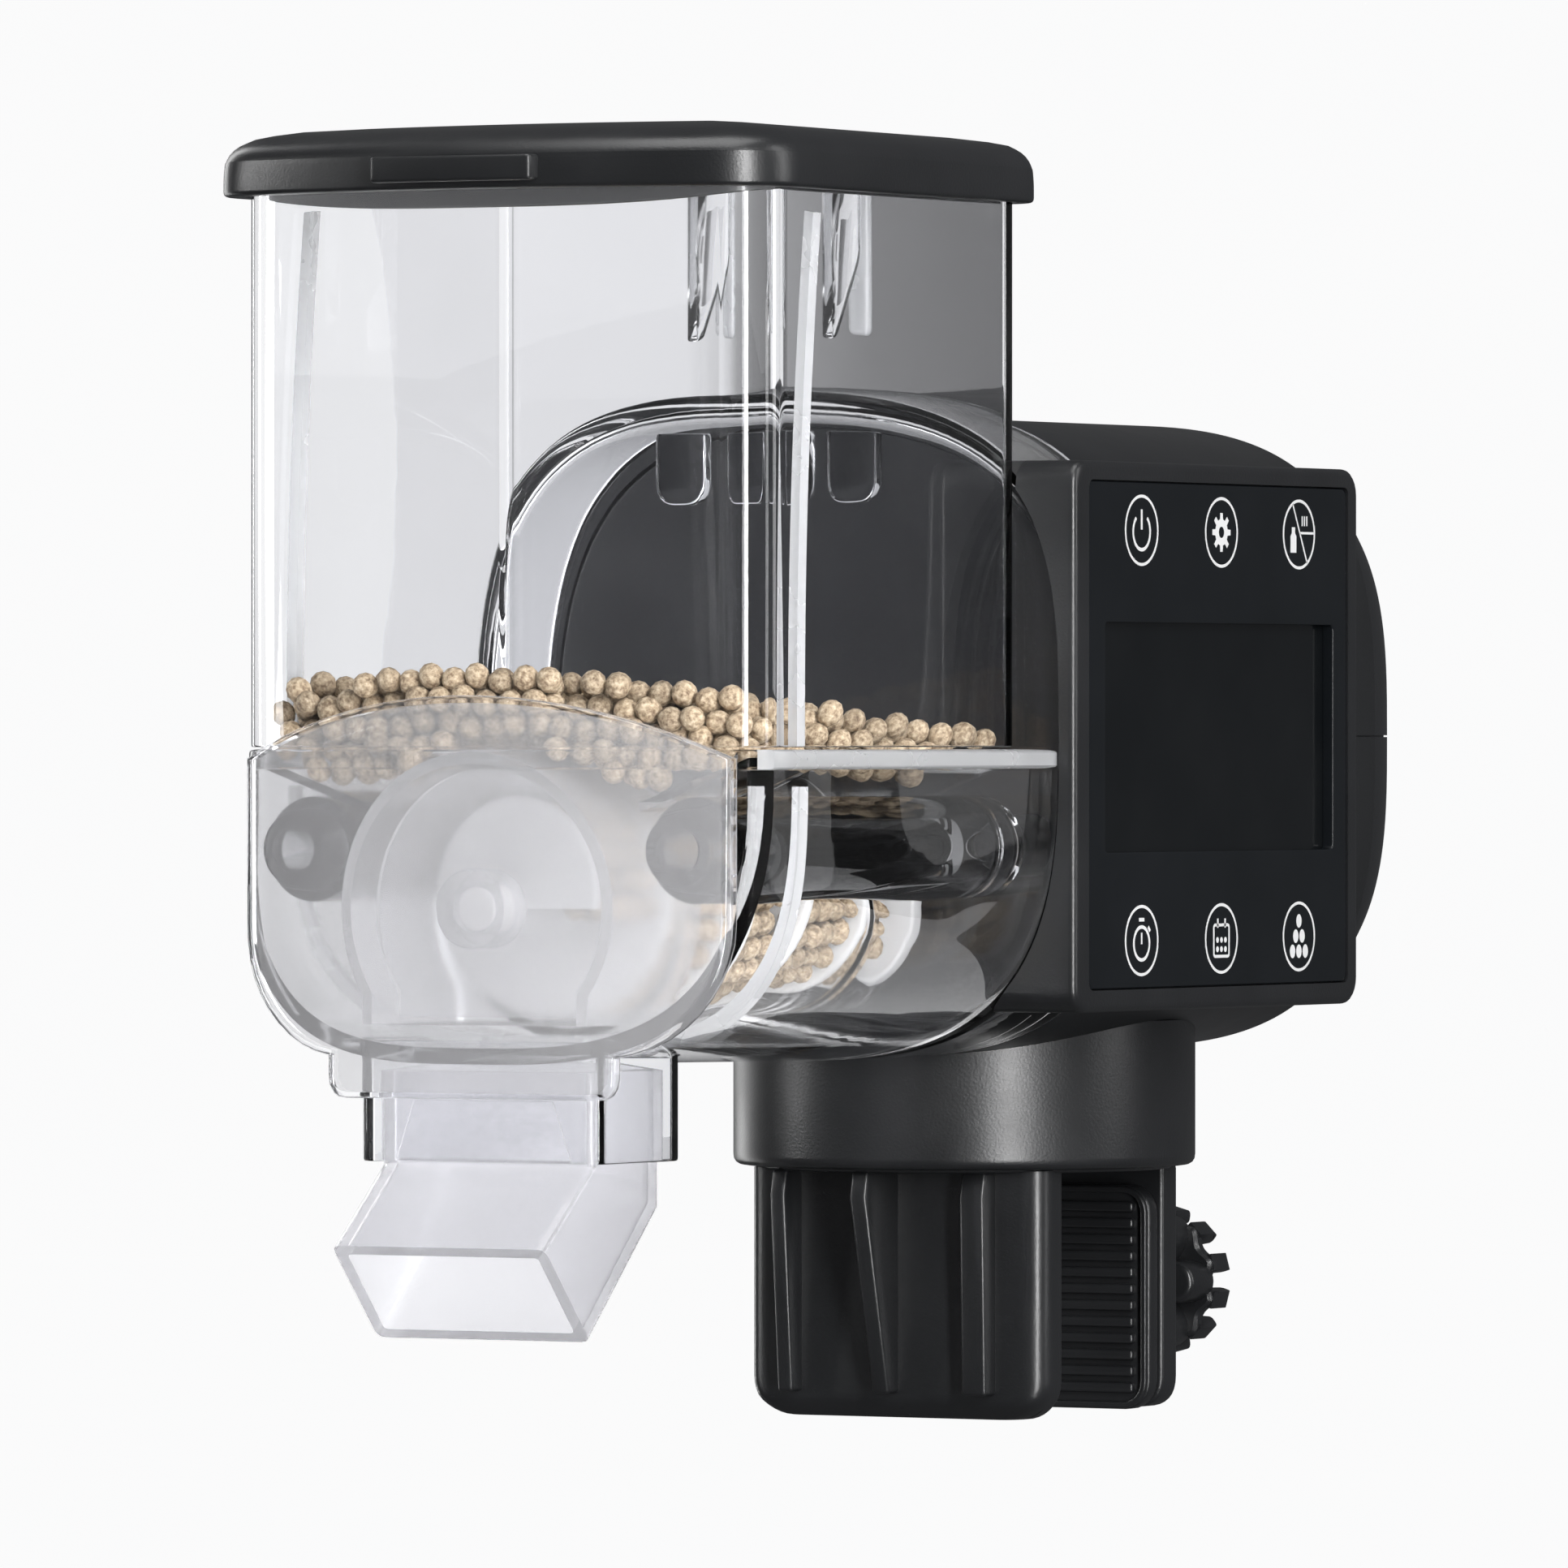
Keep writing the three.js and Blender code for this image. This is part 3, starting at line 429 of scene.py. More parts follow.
def front_y(x, reach=0.0):
    """The front wall's outer face at x."""
    radius, centre_y, corner, corner_x, corner_y = front_arc(0.0, reach)
    join = corner_x * radius / (radius - corner)
    x = min(abs(x), HALF)
    if x <= join:
        return centre_y - math.sqrt(radius ** 2 - x ** 2)
    return corner_y - math.sqrt(max(corner ** 2 - (x - corner_x) ** 2, 0))


# ---- hopper ----
def build_bin():
    low, high = BIN_LOW.z, BIN_HIGH.z
    profile = soften([(0, low, 0.3), (0, high, 0.9), (-WALL, high, 0.9), (-WALL, low, 0.3)])
    wall = loft([along_z(plan(grow), z) for grow, z in profile], loop=True)
    ribs, strips = [], []
    rib_foot, rib_edge = 114.5, -51
    for x in (-10.3, 10.3):
        side = soften([(BIN_REAR + 0.1, high - 2, 0.4), (BIN_REAR + 0.1, rib_foot, 0.4), (-58, rib_foot, 1.0),
                       (rib_edge, 124, 1.5), (rib_edge, high - 2, 0.4)])
        ribs.append(slab(along_x, side, x - 0.8, x + 0.8, 0.3, 2, 60))
        strips.append(block(x - 1.7, x + 1.7, -50.9, -49.1, 114.6, high - 3, 0.8))
    make("hopper_bin_clear", [wall, *ribs], "clear_plastic", "hopper", ["hopper_bin"])
    fins = []
    for side in (-1, 1):
        outer, inner = side * (HALF - WALL - 0.05), side * (HALF - WALL - 1.5)
        rings = []
        for k in range(13):
            z = low + 0.3 + (high - 4.8 - low) * k / 12
            y = -119.4 + 4.8 * max(z - 67, 0) ** 2 / 68 ** 2
            rings.append([(outer, y - 1.1, z), (outer, y + 1.1, z), (inner, y + 0.9, z), (inner, y - 0.9, z)])
        fins.append(loft(rings))
    # The fins and the strips on the ribs' edges take the lighter styrene: a painted highlight on real ribs.
    make("hopper_ribs_painted_bright", fins + strips, "clear_plastic", "hopper", look=PAINTED_BRIGHT_EDGE)


def flare(y):
    """0 at the outlet end of the lower body, 1 at its flange."""
    return min(max((y + 131) / (FLANGE + 131), 0), 1)


def body_arc(t, shrink):
    """The lower body's U section from its right edge round the bottom to its left edge."""
    half = 41 + (CUP_HALF - 41) * t - shrink
    centre = 58 + (CUP_Z - 58) * t
    height = 40.5 + (CUP_HEIGHT - 40.5) * t - shrink
    lower = oval(half, height, centre, 0.0, -TAU / 2, 60)
    return [(x, min(z, BODY_TOP - 2.8)) for x, z in lower]


def build_lower_body():
    rings = []
    stations = 14
    for k in range(stations + 1):
        share = k / stations
        ring = []
        for shrink, turn in ((0.0, 1), (WALL, -1)):
            t = flare(FLANGE * share + (BIN_FRONT + 3) * (1 - share))
            for x, z in body_arc(t, shrink)[::turn]:
                edge = front_y(x)
                ring.append((x, edge + (FLANGE - edge) * share, z))
        rings.append(ring)
    shell = loft(rings)
    rib = []
    for y in (-120, -118):
        rib.append([(x, y, min(z, 55)) for shrink, turn in ((WALL + 0.05, 1), (WALL + 1.6, -1))
                    for x, z in body_arc(flare(y), shrink)[::turn]])
    under = BODY_TOP - 2.7
    rim_profile = soften([(1, BODY_TOP, 0.5), (1, under, 0.5), (0, under, 0.4), (0, BODY_TOP, 0.4)])
    outer, inner = plan(0.15), plan(-WALL)
    rim = []
    for side, z in rim_profile:
        ring = []
        for (ox, oy), (ix, iy) in zip(outer, inner):
            wide = ox * (1 + (CUP_HALF / HALF - 1) * flare(oy))
            ring.append((ix + (wide - ix) * side, iy + (oy - iy) * side, z))
        rim.append(ring)
    make("lower_body_clear", [shell], "clear_plastic", "hopper")
    # The rib and the rim take the lighter styrene: a painted highlight on clear plastic seen edge-on.
    make("lower_body_rib_painted_bright", [loft(rib)], "clear_plastic", "hopper", look=PAINTED_BRIGHT_EDGE)
    shelf = make("lower_body_shelf", [loft(rim, loop=True)], "clear_plastic", "hopper", look=PAINTED_BRIGHT_EDGE)
    shelf.data.materials.append(THIN_CLEAR)  # its front run, behind the cover, is clear
    for polygon in shelf.data.polygons:
        if polygon.center.y < (BIN_FRONT + 10) * MM:
            polygon.material_index = 1
    make("outlet_sleeve_clear", [sleeve_wall()], "clear_plastic", "hopper", ["outlet_sleeve"])


def sleeve_wall():
    """The clear square sleeve that holds the chute."""
    low, high, half, front, rear, wall = SLEEVE_LOW.z, 20.6, 19, -136, -114, 1.6
    rings = []
    for g, z in soften([(0, low, 0.4), (0, high, 0.2), (wall, high, 0.2), (wall, low, 0.4)]):
        rings.append(along_z(rounded_box(g - half, half - g, front + g, rear - g, 1.7 - g * 0.8), z))
    return loft(rings, loop=True)


def build_cup():
    rear, inner = BODY_HIGH.y, FLANGE + WALL
    profile = bent([(WALL, rear, 0.7), (0, rear, 0.7), (0, FLANGE, 3.2), (14, FLANGE, 0), (30, FLANGE, 0),
                    (44, FLANGE, 0)], steps=6)
    profile += bent([(44, inner, 0), (30, inner, 0), (14, inner, 0), (WALL, inner, 2.0), (WALL, rear, 0)],
                    steps=6)
    shell = loft([along_y(oval(CUP_HALF - g, CUP_HEIGHT - g, CUP_Z), y) for g, y in profile], loop=True)
    latches = []
    high, low = 103.5, 95
    for x, half in ((0, 6.5), (-13.2, 3.9), (13.2, 3.9)):
        tongue = [(x - half, high, 0.5), (x + half, high, 0.5), (x + half, low, 3), (x - half, low, 3)]
        latches.append(slab(along_y, soften(tongue, steps=6), inner + 0.1, inner + 2.2, 0.8))
    make("rear_cup_clear", [shell, *latches], "clear_plastic", "hopper", ["auger_housing"])


def build_trough():
    inner_r, wall, front, rear = 16.6, 1.4, -130, -39.2
    edge_x, edge_z, join_z, slope_wall = 38.4, 58.9, 51.2, 1.2
    outer_r = inner_r + wall
    section = [(edge_x, edge_z - slope_wall), (edge_x, edge_z), (18, join_z)]
    section += arc(0, AXIS_Z, inner_r, 0, -TAU / 2, 40)
    section += [(-18, join_z), (-edge_x, edge_z), (-edge_x, edge_z - slope_wall)]
    section += [(-18.3, join_z - slope_wall), *arc(0, AXIS_Z, outer_r, TAU / 2, TAU, 40)]
    section += [(18.3, join_z - slope_wall)]
    open_part = loft([along_y(section, y) for y in (-112.2, FLANGE - 0.4)])
    wings = []
    slope = [(21.6, 51.6), (edge_x, edge_z - slope_wall), (edge_x, edge_z), (21.6, 52.9)]
    for side in (-1, 1):
        wing = [(side * x, z) for x, z in slope]
        wings.append(loft([along_y(wing, front), along_y(wing, -112.25)]))
    pipe = soften([(inner_r, FLANGE, 0.3), (outer_r, FLANGE, 0.3), (outer_r, rear, 0.5),
                   (inner_r, rear, 0.5)])
    parts = [open_part, *wings, loft(turned(pipe, 0, AXIS_Z), loop=True)]
    make("feed_trough_clear", parts, "clear_plastic", "hopper", ["feed_trough"], THIN_CLEAR)


def build_tubes():
    front, rear, inner = TUBE_LOW.y, TUBE_HIGH.y, TUBE_R - 1.8
    profile = soften([(TUBE_R, front, 0.4), (TUBE_R, rear, 2.6), (2.2, rear, 0.4), (2.2, rear - 1.7, 0.4),
                      (inner, rear - 1.7, 1.8), (inner, front, 0.4)], steps=5)
    for side, node in ((-1, "guide_tube_left"), (1, "guide_tube_right")):
        tube = loft(turned(profile, side * TUBE_X, TUBE_Z), loop=True)
        make(node + "_clear", [tube], "clear_plastic", "hopper", [node])


# ---- pellets ----
def pellets(name, centres, body, replaces=()):
    """One mesh of slightly uneven balls at the centres given."""
    bm = bmesh.new()
    bmesh.ops.create_icosphere(bm, subdivisions=2, radius=1.0)
    ball = [v.co.copy() for v in bm.verts]
    ball_faces = [tuple(v.index for v in f.verts) for f in bm.faces]
    bm.free()
    points, faces = [], []
    for centre in centres:
        turn = Vector([random.uniform(-1, 1) for _ in range(3)]).normalized()
        size = PELLET * random.uniform(0.93, 1.02)
        start = len(points)
        for v in ball:
            stretch = 1 + 0.05 * v.dot(turn) ** 2
            points.append(tuple(Vector(centre) + v * size * stretch))
        faces += [tuple(i + start for i in face) for face in ball_faces]
    make(name, [(points, faces)], "pellets", body, replaces, sharp=180)


def heap_top(x, y):
    """The height that pellet centres reach: lowest at the rear corner on the panel side."""
    back = (y - BIN_FRONT) / (BIN_REAR - BIN_FRONT)
    right = (x + HALF) / (2 * HALF)
    return 68.6 + 1.6 * math.sin(math.pi * right) - 6.0 * back * (0.35 + 0.65 * right) - 2.0 * right ** 3


def heap_floor(x):
    """The height of pellet centres that rest on the trough."""
    edge = abs(x)
    if edge < 18:
        return AUGER_HIGH.z + PELLET + 0.2
    return 51.2 + (edge - 18) * 7.7 / 20.4 + PELLET * 1.1


def build_heap():
    random.seed(7)
    centres = []
    pitch, rise = 2 * PELLET * 0.985, 2 * PELLET * 0.82  # close, but not quite a regular packing
    row_gap = 0.87
    columns, rows = int(2 * HALF / pitch), int((BIN_REAR - BIN_FRONT) / (pitch * row_gap))
    for layer in range(5):
        for row in range(rows):
            for column in range(columns):
                x = -HALF + 4.2 + (column + 0.5 * ((row + layer) % 2)) * pitch + random.uniform(-0.3, 0.3)
                y = BIN_REAR - 4.6 - (row + 0.33 * (layer % 3)) * pitch * row_gap + random.uniform(-0.3, 0.3)
                z = heap_top(x, y) - layer * rise + random.uniform(-0.6, 0.6)
                if layer == 0 and random.random() < 0.35:
                    continue
                wall_gap = min(HALF - WALL - PELLET - abs(x), y - front_y(x) - WALL - PELLET)
                hidden = layer > 2 and wall_gap > 3.2 * PELLET
                over_drum = y < -112 and math.hypot(x, z - AXIS_Z) < 21.2 + PELLET
                if wall_gap > 0.4 and not hidden and z > heap_floor(x) and not over_drum:
                    centres.append((x, y, z))
    pellets("food_pellet_heap", centres, "hopper", ["food_pellets"])


# ---- auger ----
PITCH = 19.0
BLADE = 2.8
BLADE_FRONT, BLADE_REAR = -131.0, AUGER_HIGH.y
AUGER_R = (AUGER_HIGH.x - AUGER_LOW.x) / 2
TURNS = (BLADE_REAR - BLADE_FRONT) / PITCH


def blade_y(angle):
    """The middle of the blade at an angle about the shaft, in radians from the front end."""
    return BLADE_FRONT + BLADE / 2 + (BLADE_REAR - BLADE_FRONT - BLADE) * angle / (TAU * TURNS)


def build_auger():
    steps = int(TURNS * 48)
    edge = BLADE * 0.36
    section = soften([(1.5, -BLADE / 2, 0), (AUGER_R, -edge, 0.9), (AUGER_R, edge, 0.9), (1.5, BLADE / 2, 0)])
    rings = []
    for i in range(steps + 1):
        angle = TAU * TURNS * i / steps
        y = blade_y(angle)
        rings.append([(u, y + dy, AXIS_Z + v) for r, dy in section for u, v in [polar(r, angle)]])
    shaft = bent([(0.2, -136.4, 0), (3, -136.4, 0.6), (3, -132, 0), (3.6, BLADE_FRONT, 0), (3.6, -49, 1),
                  (7, -47, 1), (7, -42.6, 0.6), (AUGER_R, -42.4, 0.5), (AUGER_R, BLADE_REAR, 0.5),
                  (4.3, BLADE_REAR, 0.3), (4.3, -47, 0), (0.2, -47, 0)])
    parts = [loft(rings), loft(turned(shaft, 0, AXIS_Z))]
    make("auger_white", parts, "white_plastic", "auger", ["auger_screw"])


def build_carried_pellets():
    random.seed(11)
    centres = []
    for ring_radius in (12.9, 9.3):
        around = TAU * ring_radius / (2 * PELLET + 0.1)
        steps = int(TURNS * around)
        for i in range(steps):
            angle = TAU * TURNS * i / steps
            for offset in (-5.7, -1.9, 1.9, 5.7):
                y = blade_y(angle) + PITCH / 2 + offset + random.uniform(-0.2, 0.2)
                if -127 < y < -46 and random.random() < 0.93:
                    u, v = polar(ring_radius + random.uniform(-0.3, 0.15), angle)
                    centres.append((u, y, AXIS_Z + v))
    pellets("carried_pellets", centres, "auger")


# ---- front cover and chute ----
def cover_outline():
    """The cover's outline with its tongue, from the right end of the arch."""
    half, low, corner, side_top, tongue_half = COVER_HIGH.x, 18.4, 18.0, 58.8, 22.4
    rise = COVER_HIGH.z - side_top
    radius = (half ** 2 + rise ** 2) / (2 * rise)
    reach = math.asin(half / radius)
    arch = arc(0, COVER_HIGH.z - radius, radius, TAU / 4 - reach, TAU / 4 + reach, 30)
    step = math.acos((tongue_half - (half - corner)) / corner)
    left = arc(-half + corner, low + corner, corner, TAU / 2, TAU * 0.75 - (TAU / 4 - step), 10)
    right = arc(half - corner, low + corner, corner, -step, 0, 10)
    tongue = bent([(-tongue_half, 18.5, 0), (-tongue_half, COVER_LOW.z, 3), (tongue_half, COVER_LOW.z, 3),
                   (tongue_half, 18.5, 0)])
    return arch + left + tongue + right


def build_cover():
    outline = cover_outline()
    middle = 42.0
    def ring(scale, inset, reach):
        made = []
        for x, z in outline:
            size = math.hypot(x, z - middle)
            k = scale * (size - inset) / size
            made.append((x * k, front_y(x * k, reach), middle + (z - middle) * k))
        return made
    back, front = 0.35, 2.55
    scales = [0.02, 0.2, 0.4, 0.6, 0.75, 0.86, 0.93]
    rim = bent([(1.0, back, 0), (0.0, back, 0.5), (0.0, front, 0.7), (1.0, front, 0)])
    rings = [ring(s, 0, back) for s in scales] + [ring(1, i, r) for i, r in rim]
    rings += [ring(s, 0, front) for s in reversed(scales)]
    plate = make("front_cover_frosted", [loft(rings)], "frosted_plastic", "cover", ["front_cover"],
                 COVER_HAZE)
    plate.data.materials.append(LOOKS["clear_plastic"])
    size = len(outline)
    rim_first, rim_last = len(scales) * size, (len(scales) + len(rim)) * size
    for polygon in plate.data.polygons:
        if all(rim_first <= v < rim_last for v in polygon.vertices):
            polygon.material_index = 1
    build_cover_inside()


def bottle(radius, half, low):
    """The chamber's section: a circle that runs into a straight-sided duct."""
    turn = math.asin(half / radius)
    ring = arc(0, AXIS_Z, radius, -TAU / 4 + turn, TAU * 0.75 - turn, 60)
    return ring + [(-half, low), (half, low)]


def build_cover_inside():
    low, rear = 22.8, -112.9
    outer, inner = bottle(21.2, 17.6, low), bottle(19.6, 16.0, low)
    to_plate = lambda outline: [(x, max(-137.8, front_y(x, 0.2)), z) for x, z in outline]
    chamber = loft([to_plate(outer), along_y(outer, rear), along_y(inner, rear), to_plate(inner)], loop=True)
    bearing = bent([(0.2, -138.2, 0), (5.4, -138.2, 0.3), (5.4, -131.6, 0.8), (3.3, -131.6, 0.3),
                    (3.3, -136.8, 0.3), (0.2, -136.8, 0)])
    posts = []
    for side in (-1, 1):
        front, end, radius = front_y(TUBE_X, 0.2), -67, TUBE_R - 1.8 - 0.5
        profile = soften([(radius, front, 0.3), (radius, end, 0.6), (2, end, 0.5), (2, end - 2, 0.3),
                          (radius - 1.7, end - 2, 0.5), (radius - 1.7, front, 0.3)])
        posts.append(loft(turned(profile, side * TUBE_X, TUBE_Z, 48), loop=True))
    disc = [(x * 0.93, z) for x, z in bottle(19.0, 15.4, low + 1)]
    veil = loft([[(x, -133.2 + dy, z) for x, z in disc] for dy in (0, 0.9)])
    parts = [chamber, loft(turned(bearing, 0, AXIS_Z)), veil]
    make("outlet_chamber_frosted", parts, "frosted_plastic", "cover", look=CHAMBER)
    make("cover_posts_clear", posts, "clear_plastic", "cover", look=THIN_CLEAR)


def build_chute():
    half, wall = CHUTE_HIGH.x, 1.8
    top = CHUTE_HIGH.z
    front, back = -134.0, -116.1
    # stations down the duct: (y, z) of its front edge, then of its back edge
    outer = [(front, top, back, top), (front, 3.9, back, 0.8), (front, 3.9, back, -2.2),
             (-146.9, -6.9, -134.8, -19.7)]
    lining_front, lining_back = front + wall, back - wall
    inner = [(lining_front, top, lining_back, top), (lining_front, 3.1, lining_back, 1.2),
             (lining_front, 3.1, lining_back, -1.4), (-145.7, -8.1, -136.0, -18.5)]
    depth = 18
    def ring(station, half_width, corner):
        fy, fz, by, bz = station
        setback = 1.4 * corner
        outline = [(-half_width, 0, setback), (half_width, 0, setback), (half_width, depth, setback),
                   (-half_width, depth, setback)]
        points = []
        for u, v in soften(outline, steps=3):
            share = v / depth
            points.append((u, fy + (by - fy) * share, fz + (bz - fz) * share))
        return points
    skin = [ring(s, half, 1) for s in outer]
    lining = [ring(s, half - wall, 0.5) for s in reversed(inner)]
    panel = []
    for y in (front - 0.02, front - 0.45):
        panel.append([(-10.9, y, 12.6), (10.9, y, 12.6), (13.7, y, 4.6), (-13.7, y, 4.6)])
    parts = [loft(skin + lining, loop=True), bevelled(*loft(panel), 0.15, 2)]
    make("outlet_chute_frosted", parts, "frosted_plastic", "chute", ["outlet_chute"])


# ---- lid ----
def build_lid():
    top = BIN_HIGH.z
    under = top + 0.3
    peak = LID_HIGH.z
    profile = [(-36, peak), (-24, peak - 0.1), (-14, peak - 0.35), (-7, peak - 0.85), (-3, peak - 1.4)]
    plug, skirt, foot = -WALL - 0.4, -WALL - 2.4, LID_LOW.z
    rim = bent([(-0.5, peak - 1.9, 0), (2.6, peak - 3.4, 2.4), (3, 138.6, 1.5), (3, 135.4, 0.7),
                (0.6, 135.4, 0.3), (0.6, under, 0.2), (plug, under, 0.2), (plug, foot, 0.4),
                (skirt, foot, 0.4), (skirt, under, 0.4), (-12, under, 0)], steps=5)
    profile += rim + [(-24, under), (-36, under)]
    rings = []
    for grow, z in profile:
        ring = along_z(plan(grow, grow * 1.5 if grow > 0 else grow), z)
        if z < under - 0.5 and grow < 0:  # the plug is shallower towards its corners
            lift = under - 1.4 - z
            ring = [(x, y, z + lift * min((abs(x) / (HALF - 2)) ** 3, 1) * 0.8) for x, y, _ in ring]
        rings.append(ring)
    shell = loft(rings)
    half, tip, root = 12.6, LID_LOW.y + 0.3, LID_LOW.y + 4
    tab = bent([(-half, root, 0), (-half, tip, 0.8), (half, tip, 0.8), (half, root, 0)])
    tab = slab(along_z, tab, 136.4, 139.9, 0.5, 3, 50)
    make("lid_dark", [shell, tab], "dark_plastic", "lid", ["lid"])


# ---- drive unit ----
SEAM = 34.5
DOME = 19.5


def case_profile():
    """(inset, y, lean) from the front edge towards the rear's middle.

    The lean is the wall's outward direction, in degrees from sideways to rearwards.
    """
    front, dome_y, dome_inset = CASE_LOW.y, SEAM + 0.25, 0.8
    stations = [(0.5, front, 0), (0.1, front + 0.2, 0), (0, front + 0.7, 0), (0, 0, 0), (0, SEAM - 0.4, 0),
                (0.15, SEAM - 0.1, 0), (0.6, SEAM, 0), (dome_inset, dome_y, 0)]
    steps = 14
    for i in range(1, steps + 1):
        angle = TAU / 4 * i / steps
        inset = dome_inset + (DOME - dome_inset) * (1 - math.cos(angle))
        stations.append((inset, dome_y + (CASE_HIGH.y - dome_y) * math.sin(angle), math.degrees(angle)))
    return stations + [(30, CASE_HIGH.y, 90), (40, CASE_HIGH.y, 90), (44.2, CASE_HIGH.y, 90)]


def build_casing():
    wall = 2.2
    for name, start, lift in (("casing_upper", 0.0, 0.12), ("casing_lower", TAU / 2, -0.12)):
        rings = []
        for inset, y, lean in case_profile():
            sideways, rearwards = polar(1, math.radians(lean))
            outer = oval(CASE_HALF - inset, CASE_HEIGHT - inset, CASE_Z + lift, start, start + TAU / 2, 90)
            deep = inset + wall * sideways
            inner = oval(CASE_HALF - deep, CASE_HEIGHT - deep, CASE_Z + lift, start, start + TAU / 2, 90)
            rings.append(along_y(outer, y) + along_y(inner[::-1], y - wall * rearwards))
        make(name + "_shell", [loft(rings)], "dark_plastic", "drive_unit", [name])
    lips = []
    for side in (-1, 1):
        rings = []
        for inset, y, lean in case_profile()[:-3]:
            sideways, rearwards = polar(1, math.radians(lean))
            near, far = [(side * (CASE_HALF - inset - d * sideways), y - d * rearwards) for d in (0.5, 1.9)]
            high, low = CASE_Z + 0.6, CASE_Z - 0.6
            rings.append([(*near, high), (*far, high), (*far, low), (*near, low)])
        lips.append(loft(rings))
    make("casing_seam_lip", lips, "dark_plastic", "drive_unit")
    make("swivel_collar_dark", [collar()], "dark_plastic", "drive_unit", ["swivel_collar"])
    front, back = CASE_LOW.y, -33.4
    plate = bent([(40, front, 0), (20, front, 0), (2.9, front, 0.5), (2.9, back, 0.3), (40, back, 0)])
    rings = [along_y(oval(CASE_HALF - g, CASE_HEIGHT - g, CASE_Z), y) for g, y in plate]
    peg = bent([(0.2, -46, 0), (4.4, -46, 0.8), (4.4, -36, 0), (0.2, -36, 0)])
    pegs = [loft(turned(peg, side * TUBE_X, TUBE_Z, 40)) for side in (-1, 1)]
    make("casing_front_plate_dark", [loft(rings), *pegs], "dark_plastic", "drive_unit",
         ["casing_front_plate"])


def collar():
    """The swivel collar: a ring wall under the casing with a web inside it."""
    outer, inner, bore, top, foot = COLLAR_HIGH.x, 30.6, 8.4, 21.4, 0.5
    profile = soften([(outer, top, 0), (outer, foot, 1.6), (inner, foot, 0.5), (inner, 6.5, 0.3),
                      (bore, 6.5, 0.2), (bore, 9, 0.2), (inner, 9, 0.5), (inner, top, 0)])
    return loft(upright_turned(profile), loop=True)


def cut_away(mesh, cutters):
    """The mesh with the closed cutters taken from it."""
    body = add("cut", mesh)
    tools = []
    for cutter in cutters:
        tool = add("cutter", outward_mesh("solid", *cutter))
        modifier = body.modifiers.new("cut", "BOOLEAN")
        modifier.operation = "DIFFERENCE"
        modifier.solver = "EXACT"
        modifier.object = tool
        tools.append(tool)
    bpy.context.view_layer.update()
    made = bpy.data.meshes.new_from_object(body.evaluated_get(bpy.context.evaluated_depsgraph_get()))
    for thing in [body, *tools]:
        bpy.data.objects.remove(thing)
    return made


def frame_ring(low, high, inset, radius):
    return rounded_box(low.y + inset, high.y - inset, low.z + inset, high.z - inset, radius)


def build_panel():
    face = BEZEL_HIGH.x
    rings = []
    for inset, x in bent([(8, 30, 0), (0, 30, 0), (0, face, 1.2), (4, face, 0)], steps=5):
        rings.append(along_x(frame_ring(BEZEL_LOW, BEZEL_HIGH, inset, max(3.6 - inset * 0.5, 1.0)), x))
    bezel = loft(rings)
    bed = loft([along_x(frame_ring(GLASS_LOW, GLASS_HIGH, -0.15, 1.2), x) for x in (face - 2, face + 1)])
    window = loft([along_x(frame_ring(SCREEN_LOW, SCREEN_HIGH, -0.1, 0.7), x) for x in (20, face + 1)])
    casing = loft([along_y(oval(CASE_HALF - inset + 0.02, CASE_HEIGHT - inset + 0.02, CASE_Z), y)
                   for inset, y, _ in [(0, CASE_LOW.y - 0.5, 0)] + case_profile()[3:-3]])
    cup = loft([along_y(oval(CUP_HALF + 0.3, CUP_HEIGHT + 0.3, CUP_Z), y) for y in (-80, CASE_LOW.y - 0.2)])
    side, rear = HALF + 0.6, BIN_REAR + 0.6
    clear_bin = loft([along_z([(20, -80), (side, -80), (side, rear), (20, rear)], z) for z in (50, 120)])
    mesh = cut_away(outward_mesh("solid", *bezel), [bed, window, casing, cup, clear_bin])
    place("panel_bezel_dark", mesh, "dark_plastic", "drive_unit", ["panel_bezel"])

    back, front = GLASS_LOW.x, GLASS_HIGH.x
    rings = []
    for inset, x in bent([(0, back, 0), (0, front, 0.35), (1, front, 0)]):
        rings.append(along_x(frame_ring(GLASS_LOW, GLASS_HIGH, inset, 1.2), x))
    for inset, x in bent([(-0.6, front, 0), (0.3, front, 0.25), (0.3, back, 0)]):
        rings.append(along_x(frame_ring(SCREEN_LOW, SCREEN_HIGH, inset, 0.8), x))
    make("touch_panel_glossy", [loft(rings, loop=True)], "panel_black", "drive_unit", ["touch_panel"])


# ---- marks on the panel, drawn in the panel's (y, z) plane ----
def flat(outline, centre, x):
    y0, z0 = centre
    points = [(x, y0 + u, z0 + v) for u, v in outline]
    return points, [tuple(range(len(points)))]


def strip(path, width, centre, x, closed=False):
    """A line of even width along a path."""
    count = len(path)
    left, right = [], []
    for i, p in enumerate(path):
        before = path[i - 1] if i or closed else path[i]
        after = path[(i + 1) % count] if i < count - 1 or closed else path[i]
        way = Vector((after[0] - before[0], after[1] - before[1])).normalized()
        side = Vector((-way.y, way.x)) * width / 2
        left.append((p[0] + side.x, p[1] + side.y))
        right.append((p[0] - side.x, p[1] - side.y))
    points = [(x, centre[0] + u, centre[1] + v) for u, v in left + right]
    quads = count if closed else count - 1
    return points, [(i, (i + 1) % count, count + (i + 1) % count, count + i) for i in range(quads)]


